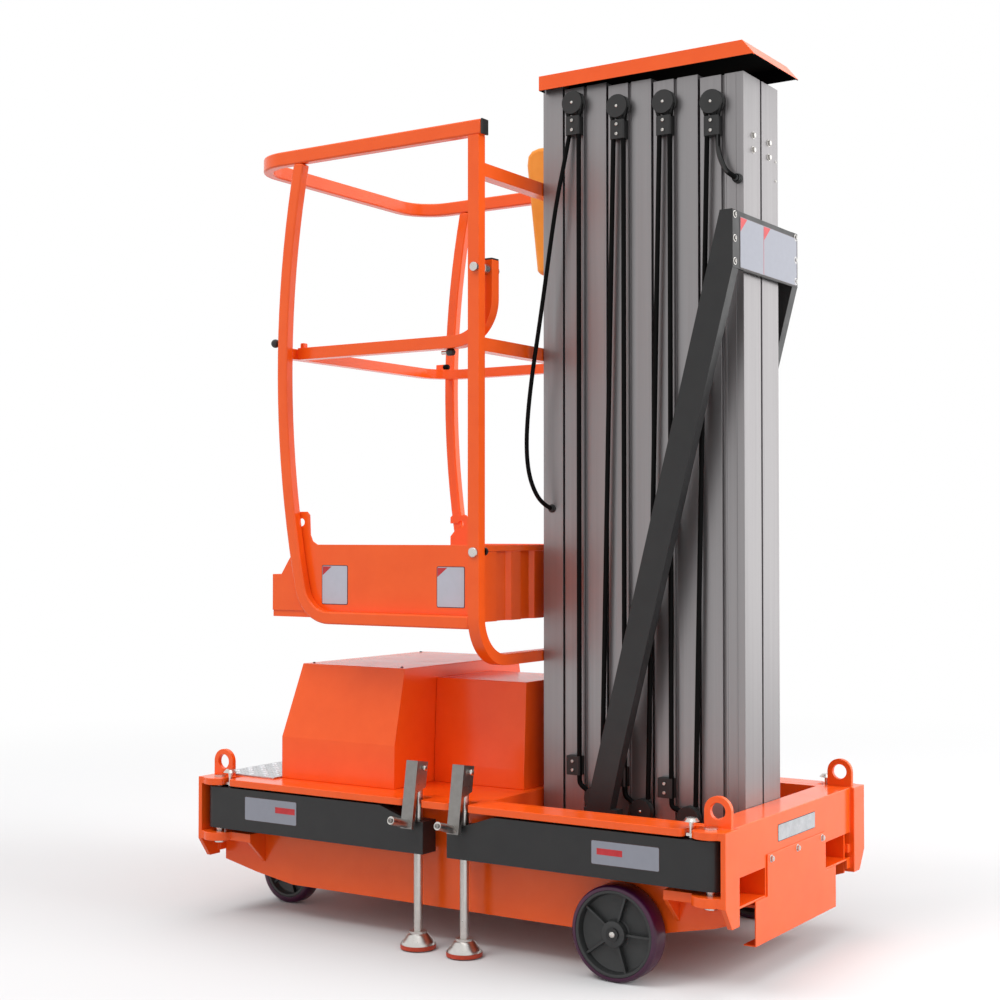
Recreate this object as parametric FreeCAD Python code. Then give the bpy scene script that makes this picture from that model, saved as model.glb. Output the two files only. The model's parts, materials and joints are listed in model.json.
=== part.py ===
import FreeCAD, Part
import math
import os

# Mast lift: a push-around work platform on a stacked aluminium mast.
# Millimetres. Origin on the floor under the middle of the base, +Z up,
# +X towards the end with the fork pockets. The side with -Y is the near side.

V = FreeCAD.Vector
X_AXIS = V(1, 0, 0)
Y_AXIS = V(0, 1, 0)
Z_AXIS = V(0, 0, 1)

# Base frame
BASE_HALF_LENGTH = 704.0
BASE_HALF_WIDTH = 381.0
DECK_TOP = 336.0
FLANGE_THICK = 16.0
SIDE_FACE = 304.0
SIDE_THICK = 6.0
SKIRT_BOTTOM = 86.0
TRAY_END = 410.0
END_COVER_BOTTOM = 79.0
END_FACE = 693.0
END_THICK = 8.0
END_FLANGE_INNER = 617.0
CORNER_PLATE_THICK = 11.0
CORNER_PLATE_INNER = 315.0
CORNER_TIP_Z = 141.0
CORNER_TIP_HALF = 350.0
WELL_FLOOR = 150.0
CASTER_DECK = 200.0
CASTER_BAY_END = -400.0

# Fork pockets through the end plate
POCKET_INNER = 165.0
POCKET_BOTTOM = 175.0
POCKET_TOP = 232.0
POCKET_WALL = 5.0
POCKET_DEPTH = 560.0

# Outriggers
PIVOT_X = 659.0
PIVOT_Y = 352.0
ARM_WIDTH = 50.0
ARM_BOTTOM = 216.0
ARM_TOP = 315.0
ARM_WALL = 4.0
ARM_END_TOP = 288.0
ARM_END_PAST_JACK = 30.0
PIVOT_PIN_R = 10.0
LOBE_R = 40.0
BRACKET_BOTTOM = 186.0
BRACKET_TOP = 206.0
BRACKET_INNER_END = 555.0
LOCK_X = 619.0
LOCK_GAP = 20.0
JACK_X = 62.5
JACK_R = 10.0
JACK_TOP = 398.0
FOOT_R = 40.0
FOOT_CLEAR = 3.0
PAD_THICK = 9.0
NOTCH_WIDTH = 46.0
FLANGE_INNER = 323.0
FLANGE_CORNER_R = 12.0

# Wheels
WHEEL_R = 100.0
WHEEL_HUB_R = 90.0
WHEEL_WIDTH = 50.0
REAR_WHEEL_X = 439.0
REAR_WHEEL_Y = 336.0
CASTER_WHEEL_R = 80.0
CASTER_HUB_R = 65.0
CASTER_WHEEL_WIDTH = 42.0
CASTER_WHEEL_X = -605.0
CASTER_WHEEL_Y = 147.0
CASTER_TRAIL = 40.0
AXLE_R = 10.0
RUNNING_CLEARANCE = 0.3

# Mast
MAST_X0 = 108.0
MAST_PITCH = 115.5
MAST_GAP = 5.5
MAST_HALF_DEPTH = 92.4
MAST_FIXED_TOP = 1931.0
MAST_TOP_STEP = 9.0
MAST_BOTTOM = 156.0
GROOVE_WIDTH = 8.0
GROOVE_DEPTH = 9.0
SLOT_NECK = 18.0
SLOT_HEAD = 28.0
SLOT_LIP = 6.0
SLOT_DEPTH = 24.0
SLIDE_ROOM = 5.0
MAST_END = 616.0

# Basket
BASKET_HALF = 348.0
RAIL = 29.0
RAIL_DEPTH = 25.0
HOOP_X = 91.0
TOP_RAIL_Z = 1824.0
TOP_RAIL_HEIGHT = 34.0
TOP_RAIL_END = 110.0
MID_RAIL_Z = 1360.0
BASKET_FRONT = -568.0
BOW_APEX_X = -460.0
BOW_APEX_Z = 1320.0
BOW_R = 2426.0
FLOOR_TOP = 745.0
TOE_TOP = 902.0
GATE_PIVOT_X = 96.0
GATE_PIVOT_Z = 1514.0
GATE_Y = -300.0
GATE_TUBE = 28.0
GATE_BOLT_R = 6.0
TOE_FRONT = -508.0
TOE_SHEET = 3.0
CORRUGATION_DEPTH = 10.0


def box(x0, x1, y0, y1, z0, z1):
    return Part.makeBox(x1 - x0, y1 - y0, z1 - z0, V(x0, y0, z0))


def cylinder(centre, axis, radius, length):
    return Part.makeCylinder(radius, length, centre, axis)


def fuse(shapes):
    """One solid from pieces that touch or overlap."""
    whole = shapes[0].fuse(shapes[1:]) if len(shapes) > 1 else shapes[0]
    return whole.removeSplitter()


def face_of(points):
    """A flat face from corner points, closed by itself."""
    return Part.Face(Part.makePolygon(points + [points[0]]))


def prism_x(outline_yz, x0, x1):
    return face_of([V(x0, y, z) for y, z in outline_yz]).extrude(V(x1 - x0, 0, 0))


def prism_y(outline_xz, y0, y1):
    return face_of([V(x, y0, z) for x, z in outline_xz]).extrude(V(0, y1 - y0, 0))


def prism_z(outline_xy, z0, z1):
    return face_of([V(x, y, z0) for x, y in outline_xy]).extrude(V(0, 0, z1 - z0))


def mirror_y(shape):
    return shape.mirror(V(0, 0, 0), Y_AXIS)


def mirror_x(shape):
    return shape.mirror(V(0, 0, 0), X_AXIS)


def square_section(point, direction, normal, width, height):
    """Rectangle across a rail: width lies in the path's plane, height along its normal."""
    side = direction.cross(normal).normalize()
    a = side * (width / 2)
    b = normal * (height / 2)
    return face_of([point + a + b, point - a + b, point - a - b, point + a - b])


def rounded_path(points, radii):
    """Line and arc pieces through points, each inner corner rounded by its own radius.

    Returns a list of ("line", start, end) and ("arc", start, middle, end).
    """
    pieces = []
    start = points[0]
    for i in range(1, len(points) - 1):
        before = (points[i - 1] - points[i]).normalize()
        after = (points[i + 1] - points[i]).normalize()
        half = before.getAngle(after) / 2
        reach = radii[i - 1] / math.tan(half)
        first = points[i] + before * reach
        last = points[i] + after * reach
        bisector = (before + after).normalize()
        centre = points[i] + bisector * (radii[i - 1] / math.sin(half))
        middle = centre - bisector * radii[i - 1]
        pieces.append(("line", start, first))
        pieces.append(("arc", first, middle, last))
        start = last
    pieces.append(("line", start, points[-1]))
    return pieces


def path_wire(pieces):
    edges = []
    for piece in pieces:
        if piece[0] == "line":
            edges.append(Part.LineSegment(piece[1], piece[2]).toShape())
        else:
            edges.append(Part.Arc(piece[1], piece[2], piece[3]).toShape())
    return Part.Wire(edges)


def rail(pieces, normal, width=RAIL, height=RAIL):
    """Square tube bent along a flat path, its ends square to the path."""
    solids = []
    for piece in pieces:
        start = piece[1]
        if piece[0] == "line":
            end = piece[2]
            section = square_section(start, (end - start).normalize(), normal, width, height)
            solids.append(section.extrude(end - start))
        else:
            arc = Part.Arc(piece[1], piece[2], piece[3]).toShape()
            centre = arc.Curve.Center
            turn = (start - centre).cross(piece[2] - centre)
            axis = turn.normalize()
            tangent = axis.cross(start - centre).normalize()
            section = square_section(start, tangent, normal, width, height)
            angle = math.degrees(arc.LastParameter - arc.FirstParameter)
            solids.append(section.revolve(centre, axis, angle))
    return fuse(solids)


def round_tube(pieces, radius):
    """Round bar along a smooth path of lines and arcs."""
    wire = path_wire(pieces)
    start = pieces[0][1]
    direction = (pieces[0][2] - start).normalize()
    circle = Part.Wire(Part.Circle(start, direction, radius).toShape())
    return wire.makePipeShell([circle], True, False)


def cord_tube(points, radius):
    """Tube along a free route, with arcs as large as the runs beside each corner allow."""
    radii = []
    for i in range(1, len(points) - 1):
        before = points[i - 1] - points[i]
        after = points[i + 1] - points[i]
        turn = math.pi - before.getAngle(after)
        radii.append(0.45 * min(before.Length, after.Length) / math.tan(turn / 2))
    print("cord radii", [round(r) for r in radii])
    pieces = rounded_path(points, radii)
    tube = round_tube(pieces, radius)
    length = path_wire(pieces).Length
    print("cord length", round(length), "volume ratio", round(tube.Volume / (math.pi * radius ** 2 * length), 4))
    return tube


def ring_of(shape, count, centre, axis):
    copies = []
    for i in range(count):
        turned = shape.copy()
        turned.rotate(centre, axis, 360.0 * i / count)
        copies.append(turned)
    return copies


# Chassis frame

def skirt():
    """Near side plate with the bar along its top that carries flange and brackets.

    Its lower edge rises towards both ends.
    """
    outline = [
        (-END_FACE + END_THICK, DECK_TOP - FLANGE_THICK),
        (-END_FACE + END_THICK, 126),
        (-583, 104),
        (-470, SKIRT_BOTTOM),
        (470, SKIRT_BOTTOM),
        (540, 105),
        (642, 126),
        (END_FACE - END_THICK, 140),
        (END_FACE - END_THICK, DECK_TOP - FLANGE_THICK),
    ]
    plate = prism_y(outline, -SIDE_FACE, -SIDE_FACE + SIDE_THICK)
    axle_r = AXLE_R - RUNNING_CLEARANCE
    plate = plate.cut(cylinder(V(REAR_WHEEL_X, -SIDE_FACE - 1, WHEEL_R), Y_AXIS, axle_r, SIDE_THICK + 2))
    end = END_FACE - END_THICK
    bar = box(-end, end, -FLANGE_INNER, -SIDE_FACE + SIDE_THICK, DECK_TOP - FLANGE_THICK, DECK_TOP)
    return fuse([plate, bar])


def side_flanges():
    """Three plates of the near top flange: a lock gap at each end, and a notch for each jack between."""
    plates = []
    end = LOCK_X - LOCK_GAP / 2
    notch = NOTCH_WIDTH / 2
    for x0, x1 in ((-end, -JACK_X - notch), (-JACK_X + notch, JACK_X - notch), (JACK_X + notch, end)):
        plate = box(x0, x1, -BASE_HALF_WIDTH, -FLANGE_INNER, DECK_TOP - FLANGE_THICK, DECK_TOP)
        corners = [e for e in plate.Edges if e.BoundBox.ZLength > 1 and e.BoundBox.YMax < -SIDE_FACE - 30]
        plates.append(plate.makeFillet(FLANGE_CORNER_R, corners))
    return plates


def lobe_plate(z0, z1, inner_end, inner_y):
    """Bracket plate around an outrigger pivot, at the +X near corner."""
    lobe = cylinder(V(PIVOT_X, -PIVOT_Y, z0), Z_AXIS, LOBE_R, z1 - z0)
    outer = box(PIVOT_X, END_FACE, -BASE_HALF_WIDTH, inner_y, z0, z1)
    tail = box(inner_end, PIVOT_X, -PIVOT_Y - 8, inner_y, z0, z1)
    plate = fuse([lobe, outer, tail])
    kept = box(inner_end, END_FACE, -PIVOT_Y - LOBE_R - 1, inner_y, z0, z1)
    return plate.common(kept).cut(cylinder(V(PIVOT_X, -PIVOT_Y, z0 - 1), Z_AXIS, PIVOT_PIN_R, z1 - z0 + 2))


def corner_bracket():
    """Near corner at +X: two lobe plates, gusset, end strip with its tapered tip, lifting eye."""
    top = lobe_plate(DECK_TOP - FLANGE_THICK, DECK_TOP, LOCK_X + LOCK_GAP / 2, -FLANGE_INNER)
    bottom = lobe_plate(BRACKET_BOTTOM, BRACKET_TOP, BRACKET_INNER_END, -SIDE_FACE)
    gusset = prism_x(
        [(-SIDE_FACE, BRACKET_BOTTOM), (-PIVOT_Y - 8, BRACKET_BOTTOM), (-SIDE_FACE, 132)],
        BRACKET_INNER_END, BRACKET_INNER_END + 10)
    strip = prism_x(
        [
            (-CORNER_PLATE_INNER, DECK_TOP),
            (-BASE_HALF_WIDTH, DECK_TOP),
            (-BASE_HALF_WIDTH, BRACKET_BOTTOM),
            (-CORNER_TIP_HALF, CORNER_TIP_Z),
            (-CORNER_PLATE_INNER, CORNER_TIP_Z),
        ],
        END_FACE, BASE_HALF_LENGTH)
    inner_y = -SIDE_FACE + SIDE_THICK
    back = END_FACE - END_THICK
    backing = [
        box(back, END_FACE, -FLANGE_INNER, inner_y, POCKET_TOP, DECK_TOP),
        box(back, END_FACE, -FLANGE_INNER, inner_y, 150, POCKET_BOTTOM),
    ]
    return fuse([top, bottom, gusset, strip, lifting_eye()] + backing)


def lifting_eye():
    """Upright lug with a round top and hole, standing on the corner plate."""
    x = 665.0
    y0 = -FLANGE_INNER - 12
    y1 = -FLANGE_INNER
    hole_z = 370.0
    lug = fuse([
        box(x - 30, x + 30, y0, y1, DECK_TOP - FLANGE_THICK, hole_z),
        cylinder(V(x, y0, hole_z), Y_AXIS, 30, y1 - y0),
    ])
    return lug.cut(cylinder(V(x, y0 - 1, hole_z), Y_AXIS, 17, y1 - y0 + 2))


def end_channel():
    """Cross channel at the +X end with the two fork sleeves behind its openings."""
    inner = SIDE_FACE - SIDE_THICK
    flange = box(END_FLANGE_INNER, END_FACE, -inner, inner, DECK_TOP - FLANGE_THICK, DECK_TOP)
    face = box(END_FACE - END_THICK, END_FACE, -inner, inner, POCKET_BOTTOM - POCKET_WALL, DECK_TOP)
    for side in (-1, 1):
        y0, y1 = sorted((side * POCKET_INNER, side * (inner + 5)))
        face = face.cut(box(END_FACE - 20, END_FACE + 5, y0, y1, POCKET_BOTTOM, POCKET_TOP))
    return fuse([flange, face, fork_pocket(), mirror_y(fork_pocket())])


def fork_pocket():
    """Near rectangular sleeve behind the end plate, open at both ends, against the side plate."""
    x0 = END_FACE - POCKET_DEPTH
    y_outer = -SIDE_FACE + SIDE_THICK
    sleeve = box(x0, END_FACE - END_THICK, y_outer, -POCKET_INNER + POCKET_WALL,
                 POCKET_BOTTOM - POCKET_WALL, POCKET_TOP + POCKET_WALL)
    space = box(x0 - 5, END_FACE, y_outer - 5, -POCKET_INNER, POCKET_BOTTOM, POCKET_TOP)
    return sleeve.cut(space)


def front_end():
    """End plate and flange at the -X end, under the step."""
    inner = SIDE_FACE - SIDE_THICK
    face = box(-END_FACE, -END_FACE + END_THICK, -inner, inner, 170, DECK_TOP)
    flange = box(-END_FACE, -END_FACE + 60, -inner, inner, DECK_TOP - FLANGE_THICK, DECK_TOP)
    return fuse([face, flange])


def chassis_decks():
    """Plates across the base that carry the casters, the covers and the mast, with the front end."""
    inner = SIDE_FACE - SIDE_THICK
    well = POCKET_INNER - POCKET_WALL
    bulkhead = 6.0
    return fuse([
        front_end(),
        box(-END_FACE + END_THICK, CASTER_BAY_END, -inner, inner, CASTER_DECK, CASTER_DECK + 8),
        box(CASTER_BAY_END, CASTER_BAY_END + bulkhead, -inner, inner, SKIRT_BOTTOM + 3, DECK_TOP - 5),
        box(-END_FACE + 60, MAST_X0 - 8, -inner, inner, DECK_TOP - 5, DECK_TOP),
        box(MAST_X0 - 14, MAST_X0 - 8, -inner, inner, SKIRT_BOTTOM + 3, DECK_TOP),
        box(MAST_X0 - 8, END_FACE - END_THICK, -well, well, WELL_FLOOR - 6, WELL_FLOOR),
    ])


def side_frame():
    """Near side of the base outside its skirt: flange plates and both corner brackets."""
    return Part.makeCompound(side_flanges() + [corner_bracket(), mirror_x(corner_bracket())])


def belly_tray():
    """Bottom sheet between the skirts, behind the caster bay."""
    inner = SIDE_FACE - SIDE_THICK
    return box(CASTER_BAY_END, TRAY_END, -inner, inner, SKIRT_BOTTOM, SKIRT_BOTTOM + 3)


def step_plate():
    return box(-690, -518, -318, 318, DECK_TOP, DECK_TOP + 4)


def sheet_hood(lower, upper, z0, z1, z2, wall):
    """Hollow cover: straight walls from z0 to z1, then leaning in to the lid at z2.

    lower and upper are (x0, x1, half width) at the wall and at the lid.
    """
    def loop(dims, z, inset):
        x0, x1, half = dims
        x0 = x0 + inset
        x1 = x1 - inset
        half = half - inset
        return Part.makePolygon([V(x0, -half, z), V(x1, -half, z), V(x1, half, z), V(x0, half, z), V(x0, -half, z)])
    outer = Part.makeLoft([loop(lower, z0, 0), loop(lower, z1, 0), loop(upper, z2, 0)], True, True)
    inner = Part.makeLoft(
        [loop(lower, z0 - 1, wall), loop(lower, z1, wall), loop(upper, z2 - wall, wall)], True, True)
    return outer.cut(inner)


def battery_cover():
    return sheet_hood((-518, -178, 288), (-486, -178, 247), DECK_TOP, 436, 612, 3)


def drive_cover():
    return sheet_hood((-177, 77, 130), (-177, 77, 120), DECK_TOP, 380, 583, 3)


def power_pack():
    """Battery and pump inside the covers, one plain block."""
    return box(-440, -210, -180, 180, DECK_TOP, 530)


def end_cover():
    """Plate that hangs from the end channel between the fork pockets, with a lip turned in below."""
    outline = [
        (-160, 258), (-160, 172), (-220, 172), (-220, END_COVER_BOTTOM),
        (220, END_COVER_BOTTOM), (220, 172), (160, 172), (160, 258),
    ]
    plate = prism_x(outline, END_FACE, END_FACE + 3)
    lip = box(END_FACE - 25, END_FACE + 3, -220, 220, END_COVER_BOTTOM, END_COVER_BOTTOM + 3)
    return fuse([plate, lip])


def corner_pins():
    """Pivot pins and spring lock pins of the four outriggers."""
    head_r = 14.5
    pivot = cylinder(V(PIVOT_X, -PIVOT_Y, BRACKET_BOTTOM - 6), Z_AXIS, PIVOT_PIN_R, DECK_TOP - BRACKET_BOTTOM + 10)
    head = cylinder(V(PIVOT_X, -PIVOT_Y, DECK_TOP), Z_AXIS, head_r, 4)
    nut = cylinder(V(PIVOT_X, -PIVOT_Y, BRACKET_BOTTOM - 8), Z_AXIS, head_r, 8)
    pivot_pin = fuse([pivot, head, nut])
    rod = cylinder(V(LOCK_X, -PIVOT_Y - 8, ARM_TOP + 2), Z_AXIS, 5, 35)
    knob = Part.makeCone(17, 11, 7, V(LOCK_X, -PIVOT_Y - 8, 350), Z_AXIS)
    collar = box(LOCK_X - 8, LOCK_X + 8, -PIVOT_Y - 16, -FLANGE_INNER, ARM_TOP + 6, ARM_TOP + 12)
    lock = fuse([rod, knob, collar])
    near = [pivot_pin, lock, mirror_x(pivot_pin), mirror_x(lock)]
    return Part.makeCompound(near + [mirror_y(shape) for shape in near])


# Wheels

def wheel_ring(radius_in, radius_out, half_width, crown):
    """Ring about the Y axis with its outer edges chamfered by crown."""
    points = [
        V(radius_in, -half_width, 0), V(radius_out - crown, -half_width, 0), V(radius_out, -half_width + crown, 0),
        V(radius_out, half_width - crown, 0), V(radius_out - crown, half_width, 0), V(radius_in, half_width, 0),
    ]
    return face_of(points).revolve(V(0, 0, 0), Y_AXIS, 360)


def wheel_tread(centre, radius, hub_radius, width):
    ring = wheel_ring(hub_radius, radius, width / 2, 5)
    ring.translate(centre)
    return ring


def wheel_hub(centre, hub_radius, width):
    """Moulded hub: rim, thin disc, boss and ribs on both faces, bored for its axle."""
    half = width / 2
    rim = wheel_ring(hub_radius - 10, hub_radius, half - 1, 1)
    disc = wheel_ring(20, hub_radius - 8, 5, 1)
    boss = wheel_ring(AXLE_R, 28, half + 1, 2)
    ribs = ring_of(box(20, hub_radius - 6, -half + 6, half - 6, -3.5, 3.5), 6, V(0, 0, 0), Y_AXIS)
    hub = fuse([rim, disc, boss] + ribs)
    hub.translate(centre)
    return hub


def axle_stub():
    """Rear axle stub through the near side plate, with its end washer and inner flange."""
    y_in = -SIDE_FACE + SIDE_THICK
    y_hub = -REAR_WHEEL_Y - WHEEL_WIDTH / 2
    shaft = cylinder(V(REAR_WHEEL_X, y_in, WHEEL_R), V(0, -1, 0), AXLE_R - RUNNING_CLEARANCE, y_in - y_hub + 3)
    washer = cylinder(V(REAR_WHEEL_X, y_hub - 2, WHEEL_R), V(0, -1, 0), 14, 2)
    flange = cylinder(V(REAR_WHEEL_X, y_in, WHEEL_R), Y_AXIS, 17, 8)
    return fuse([shaft, washer, flange])


def rear_axles():
    return Part.makeCompound([axle_stub(), mirror_y(axle_stub())])


def caster_fork(side):
    """Swivel fork: bearing, crown, two legs that lean back to the wheel, and the wheel's axle."""
    wheel_y = side * CASTER_WHEEL_Y
    stem_x = CASTER_WHEEL_X + CASTER_TRAIL
    inner = CASTER_WHEEL_WIDTH / 2 + 5
    crown_z = 2 * CASTER_WHEEL_R + 12
    axle_z = CASTER_WHEEL_R
    legs = []
    for leg in (-1, 1):
        y0, y1 = sorted((wheel_y + leg * inner, wheel_y + leg * (inner + 4)))
        legs.append(prism_y([
            (stem_x - 32, crown_z + 4), (stem_x + 32, crown_z + 4), (stem_x + 26, crown_z - 28),
            (CASTER_WHEEL_X + 17, axle_z - 8), (CASTER_WHEEL_X + 6, axle_z - 18),
            (CASTER_WHEEL_X - 6, axle_z - 18), (CASTER_WHEEL_X - 17, axle_z - 8), (CASTER_WHEEL_X - 17, axle_z + 14),
        ], y0, y1))
    crown = box(stem_x - 32, stem_x + 32, wheel_y - inner - 4, wheel_y + inner + 4, crown_z, crown_z + 4)
    bearing = cylinder(V(stem_x, wheel_y, crown_z + 4), Z_AXIS, 28, CASTER_DECK - crown_z - 4)
    axle = cylinder(V(CASTER_WHEEL_X, wheel_y - inner - 8, axle_z), Y_AXIS,
                    AXLE_R - RUNNING_CLEARANCE, 2 * inner + 16)
    return fuse(legs + [crown, bearing, axle])


# Outriggers, modelled at the near +X corner and mirrored to the others

def outrigger_arm():
    """Rectangular tube with a round pivot end and a top edge that drops towards the jack."""
    x_end = JACK_X - ARM_END_PAST_JACK
    half = ARM_WIDTH / 2
    body = prism_y([
        (PIVOT_X, ARM_BOTTOM), (PIVOT_X, ARM_TOP), (x_end + 120, ARM_TOP), (x_end + 40, ARM_END_TOP),
        (x_end, ARM_END_TOP), (x_end, ARM_BOTTOM),
    ], -PIVOT_Y - half, -PIVOT_Y + half)
    nose = cylinder(V(PIVOT_X, -PIVOT_Y, ARM_BOTTOM), Z_AXIS, half, ARM_TOP - ARM_BOTTOM)
    arm = fuse([body, nose])
    hollow = prism_y([
        (PIVOT_X - 40, ARM_BOTTOM + ARM_WALL), (PIVOT_X - 40, ARM_TOP - ARM_WALL),
        (x_end + 121, ARM_TOP - ARM_WALL), (x_end + 66, ARM_END_TOP - ARM_WALL + 5), (x_end + 66, ARM_BOTTOM + ARM_WALL),
    ], -PIVOT_Y - half + ARM_WALL, -PIVOT_Y + half - ARM_WALL)
    drain = cylinder(V(400, -PIVOT_Y, ARM_BOTTOM - 1), Z_AXIS, 6, ARM_WALL + 3)
    pin_hole = cylinder(V(PIVOT_X, -PIVOT_Y, ARM_BOTTOM - 1), Z_AXIS, PIVOT_PIN_R + RUNNING_CLEARANCE, 200)
    jack_hole = cylinder(V(JACK_X, -PIVOT_Y, ARM_BOTTOM - 1), Z_AXIS, JACK_R + RUNNING_CLEARANCE, 200)
    return arm.cut([hollow, drain, pin_hole, jack_hole])


def jack_screw():
    """Jack shaft with its bell foot, and the folding crank hanging from the top bolt."""
    foot_z = FOOT_CLEAR
    bell = face_of([
        V(0, 0, foot_z), V(FOOT_R, 0, foot_z), V(FOOT_R, 0, foot_z + PAD_THICK), V(FOOT_R - 2, 0, foot_z + PAD_THICK),
        V(FOOT_R - 4, 0, foot_z + 15), V(FOOT_R - 16, 0, foot_z + 30), V(20, 0, foot_z + 33), V(20, 0, foot_z + 38),
        V(0, 0, foot_z + 38),
    ]).revolve(V(0, 0, 0), Z_AXIS, 360)
    shaft = cylinder(V(0, 0, foot_z + 20), Z_AXIS, JACK_R, JACK_TOP - foot_z - 20)
    bell.translate(V(JACK_X, -PIVOT_Y, 0))
    shaft.translate(V(JACK_X, -PIVOT_Y, 0))
    return fuse([bell, shaft, crank_channel()])


def crank_channel():
    """Folding crank: a channel on the top bolt, hanging outside the arm, with its grip turned out."""
    width = 31.0
    wall = 3.0
    lean = 9.0
    top = 418.0
    bottom = 268.0
    web_y = -PIVOT_Y - 26
    web = box(JACK_X - width / 2, JACK_X + width / 2, web_y, web_y + wall, bottom, top)
    cheeks = []
    for side in (-1, 1):
        x0, x1 = sorted((JACK_X + side * width / 2, JACK_X + side * (width / 2 - wall)))
        cheeks.append(prism_x([
            (web_y, top), (web_y + 40, top), (web_y + 40, 362), (web_y + 10, 348), (web_y + 10, bottom), (web_y, bottom),
        ], x0, x1))
    bolt = cylinder(V(JACK_X - width / 2 - 4, -PIVOT_Y, 404), X_AXIS, 5, width + 8)
    grip = cylinder(V(JACK_X, web_y + 2, bottom + 10), V(0, -1, 0.12), 9, 62)
    channel = fuse([web] + cheeks + [grip])
    channel.rotate(V(JACK_X, -PIVOT_Y, 404), X_AXIS, -lean)
    block = box(JACK_X - width / 2 + wall, JACK_X + width / 2 - wall, -PIVOT_Y - 10, -PIVOT_Y + 10, 380, 412)
    return fuse([channel, bolt, block])


# Mast

# Chambers of a whole section, from its own left face: x from, x to, y from, y to (both sides of the middle).
WHOLE_CHAMBERS = [
    (4.0, 47.0, 2.0, 88.4),
    (51.0, 59.0, 0.0, 79.4),
    (63.0, 82.0, 0.0, 28.0),
    (63.0, 106.0, 32.0, 88.4),
]
# Chambers of the narrow section that carries the basket.
NARROW_CHAMBERS = [
    (4.0, 24.3, 2.0, 88.4),
    (28.3, 48.3, 32.0, 88.4),
]
# Chambers of the fixed section, which has a plain back.
BACK_CHAMBERS = [
    (4.0, 47.0, 2.0, 88.4),
    (51.0, 59.0, 0.0, 79.4),
    (63.0, 99.7, 8.0, 88.4),
]


def mast_section(index):
    """Extruded mast section. Section 0 carries the basket and section 4 is fixed.

    A tongue on the left face runs in the undercut slot of the section before it,
    and the long faces have a groove at mid-width. Both ends are open.
    """
    x0 = MAST_X0 if index == 0 else MAST_X0 + (index - 0.5) * MAST_PITCH
    x1 = MAST_END if index == 4 else MAST_X0 + (index + 0.5) * MAST_PITCH - MAST_GAP
    top = MAST_FIXED_TOP + (4 - index) * MAST_TOP_STEP
    half = MAST_HALF_DEPTH
    below = MAST_BOTTOM - 1
    above = top + 1
    body = box(x0, x1, -half, half, MAST_BOTTOM, top)
    if index == 0:
        chambers = NARROW_CHAMBERS
    elif index == 4:
        chambers = BACK_CHAMBERS
    else:
        chambers = WHOLE_CHAMBERS
    cuts = []
    for start, end, inner, outer in chambers:
        if inner == 0.0:
            cuts.append(box(x0 + start, x0 + end, -outer, outer, below, above))
        else:
            cuts.append(box(x0 + start, x0 + end, inner, outer, below, above))
            cuts.append(box(x0 + start, x0 + end, -outer, -inner, below, above))
    if index > 0:
        middle = x0 + MAST_PITCH / 2 - MAST_GAP / 2
        for side in (-1, 1):
            y0, y1 = sorted((side * (half - GROOVE_DEPTH), side * (half + 1)))
            cuts.append(box(middle - GROOVE_WIDTH / 2, middle + GROOVE_WIDTH / 2, y0, y1, below, above))
    if index == 4:
        cuts.append(box(x1 - GROOVE_DEPTH, x1 + 1, -GROOVE_WIDTH / 2, GROOVE_WIDTH / 2, below, above))
    if index < 4:
        cuts.append(box(x1 - SLOT_LIP - 1, x1 + 1, -SLOT_NECK, SLOT_NECK, below, above))
        cuts.append(box(x1 - SLOT_DEPTH, x1 - SLOT_LIP, -SLOT_HEAD, SLOT_HEAD, below, above))
    section = body.cut(cuts)
    if index == 0:
        return section
    head_end = x0 - MAST_GAP - SLOT_DEPTH + SLIDE_ROOM
    head_start = x0 - MAST_GAP - SLOT_LIP - SLIDE_ROOM
    neck = SLOT_NECK - SLIDE_ROOM
    head = SLOT_HEAD - SLIDE_ROOM
    return fuse([
        section,
        box(head_start, x0, -neck, neck, MAST_BOTTOM, top),
        box(head_end, head_start, -head, head, MAST_BOTTOM, top),
    ])


# Lifting cables. Row j: the top pulley on mast section j + 1, its clamp and its bottom pulley.
# Columns: pulley height, clamp height, bottom pulley height.
CABLE_ROWS = {1: (1918.0, 400.0, 330.0), 2: (1893.0, 384.0, 312.0), 3: (1886.0, 368.0, 306.0), 4: (1869.0, 0.0, 0.0)}
CABLE_R = 5.5
PULLEY_X0 = 198.0
PULLEY_PITCH = 116.8
PULLEY_R = 27.0
CABLE_OFF = 15.0
RUN_RIGHT = 14.0
RUN_LEFT = -12.0
LOW_PULLEY_OFFSET = 57.0
BLOCK_TOP = -31.0
BLOCK_HEIGHT = 43.0


def pulley_x(j):
    return PULLEY_X0 + (j - 1) * PULLEY_PITCH


def guide_block(x, z_top):
    """Clamp block that holds both cable runs against the mast."""
    block = box(x - 18, x + 18, -MAST_HALF_DEPTH - 22, -MAST_HALF_DEPTH, z_top - BLOCK_HEIGHT, z_top)
    upright = [e for e in block.Edges if e.BoundBox.ZLength > 1 and e.BoundBox.YMax < -MAST_HALF_DEPTH - 5]
    return block.makeChamfer(3, upright)


def pulley_disc(x, z):
    """Grooved pulley on its short axle, with its side plates."""
    face = -MAST_HALF_DEPTH
    disc = face_of([
        V(0, 0, 0), V(0, 0, PULLEY_R - 9), V(0, -6, PULLEY_R - 9), V(0, -6, PULLEY_R), V(0, -9, PULLEY_R),
        V(0, -12, PULLEY_R - 7), V(0, -18, PULLEY_R - 7), V(0, -21, PULLEY_R), V(0, -24, PULLEY_R - 1), V(0, -24, 0),
    ]).revolve(V(0, 0, 0), Y_AXIS, 360)
    disc.translate(V(x, face, z))
    return disc


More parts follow.
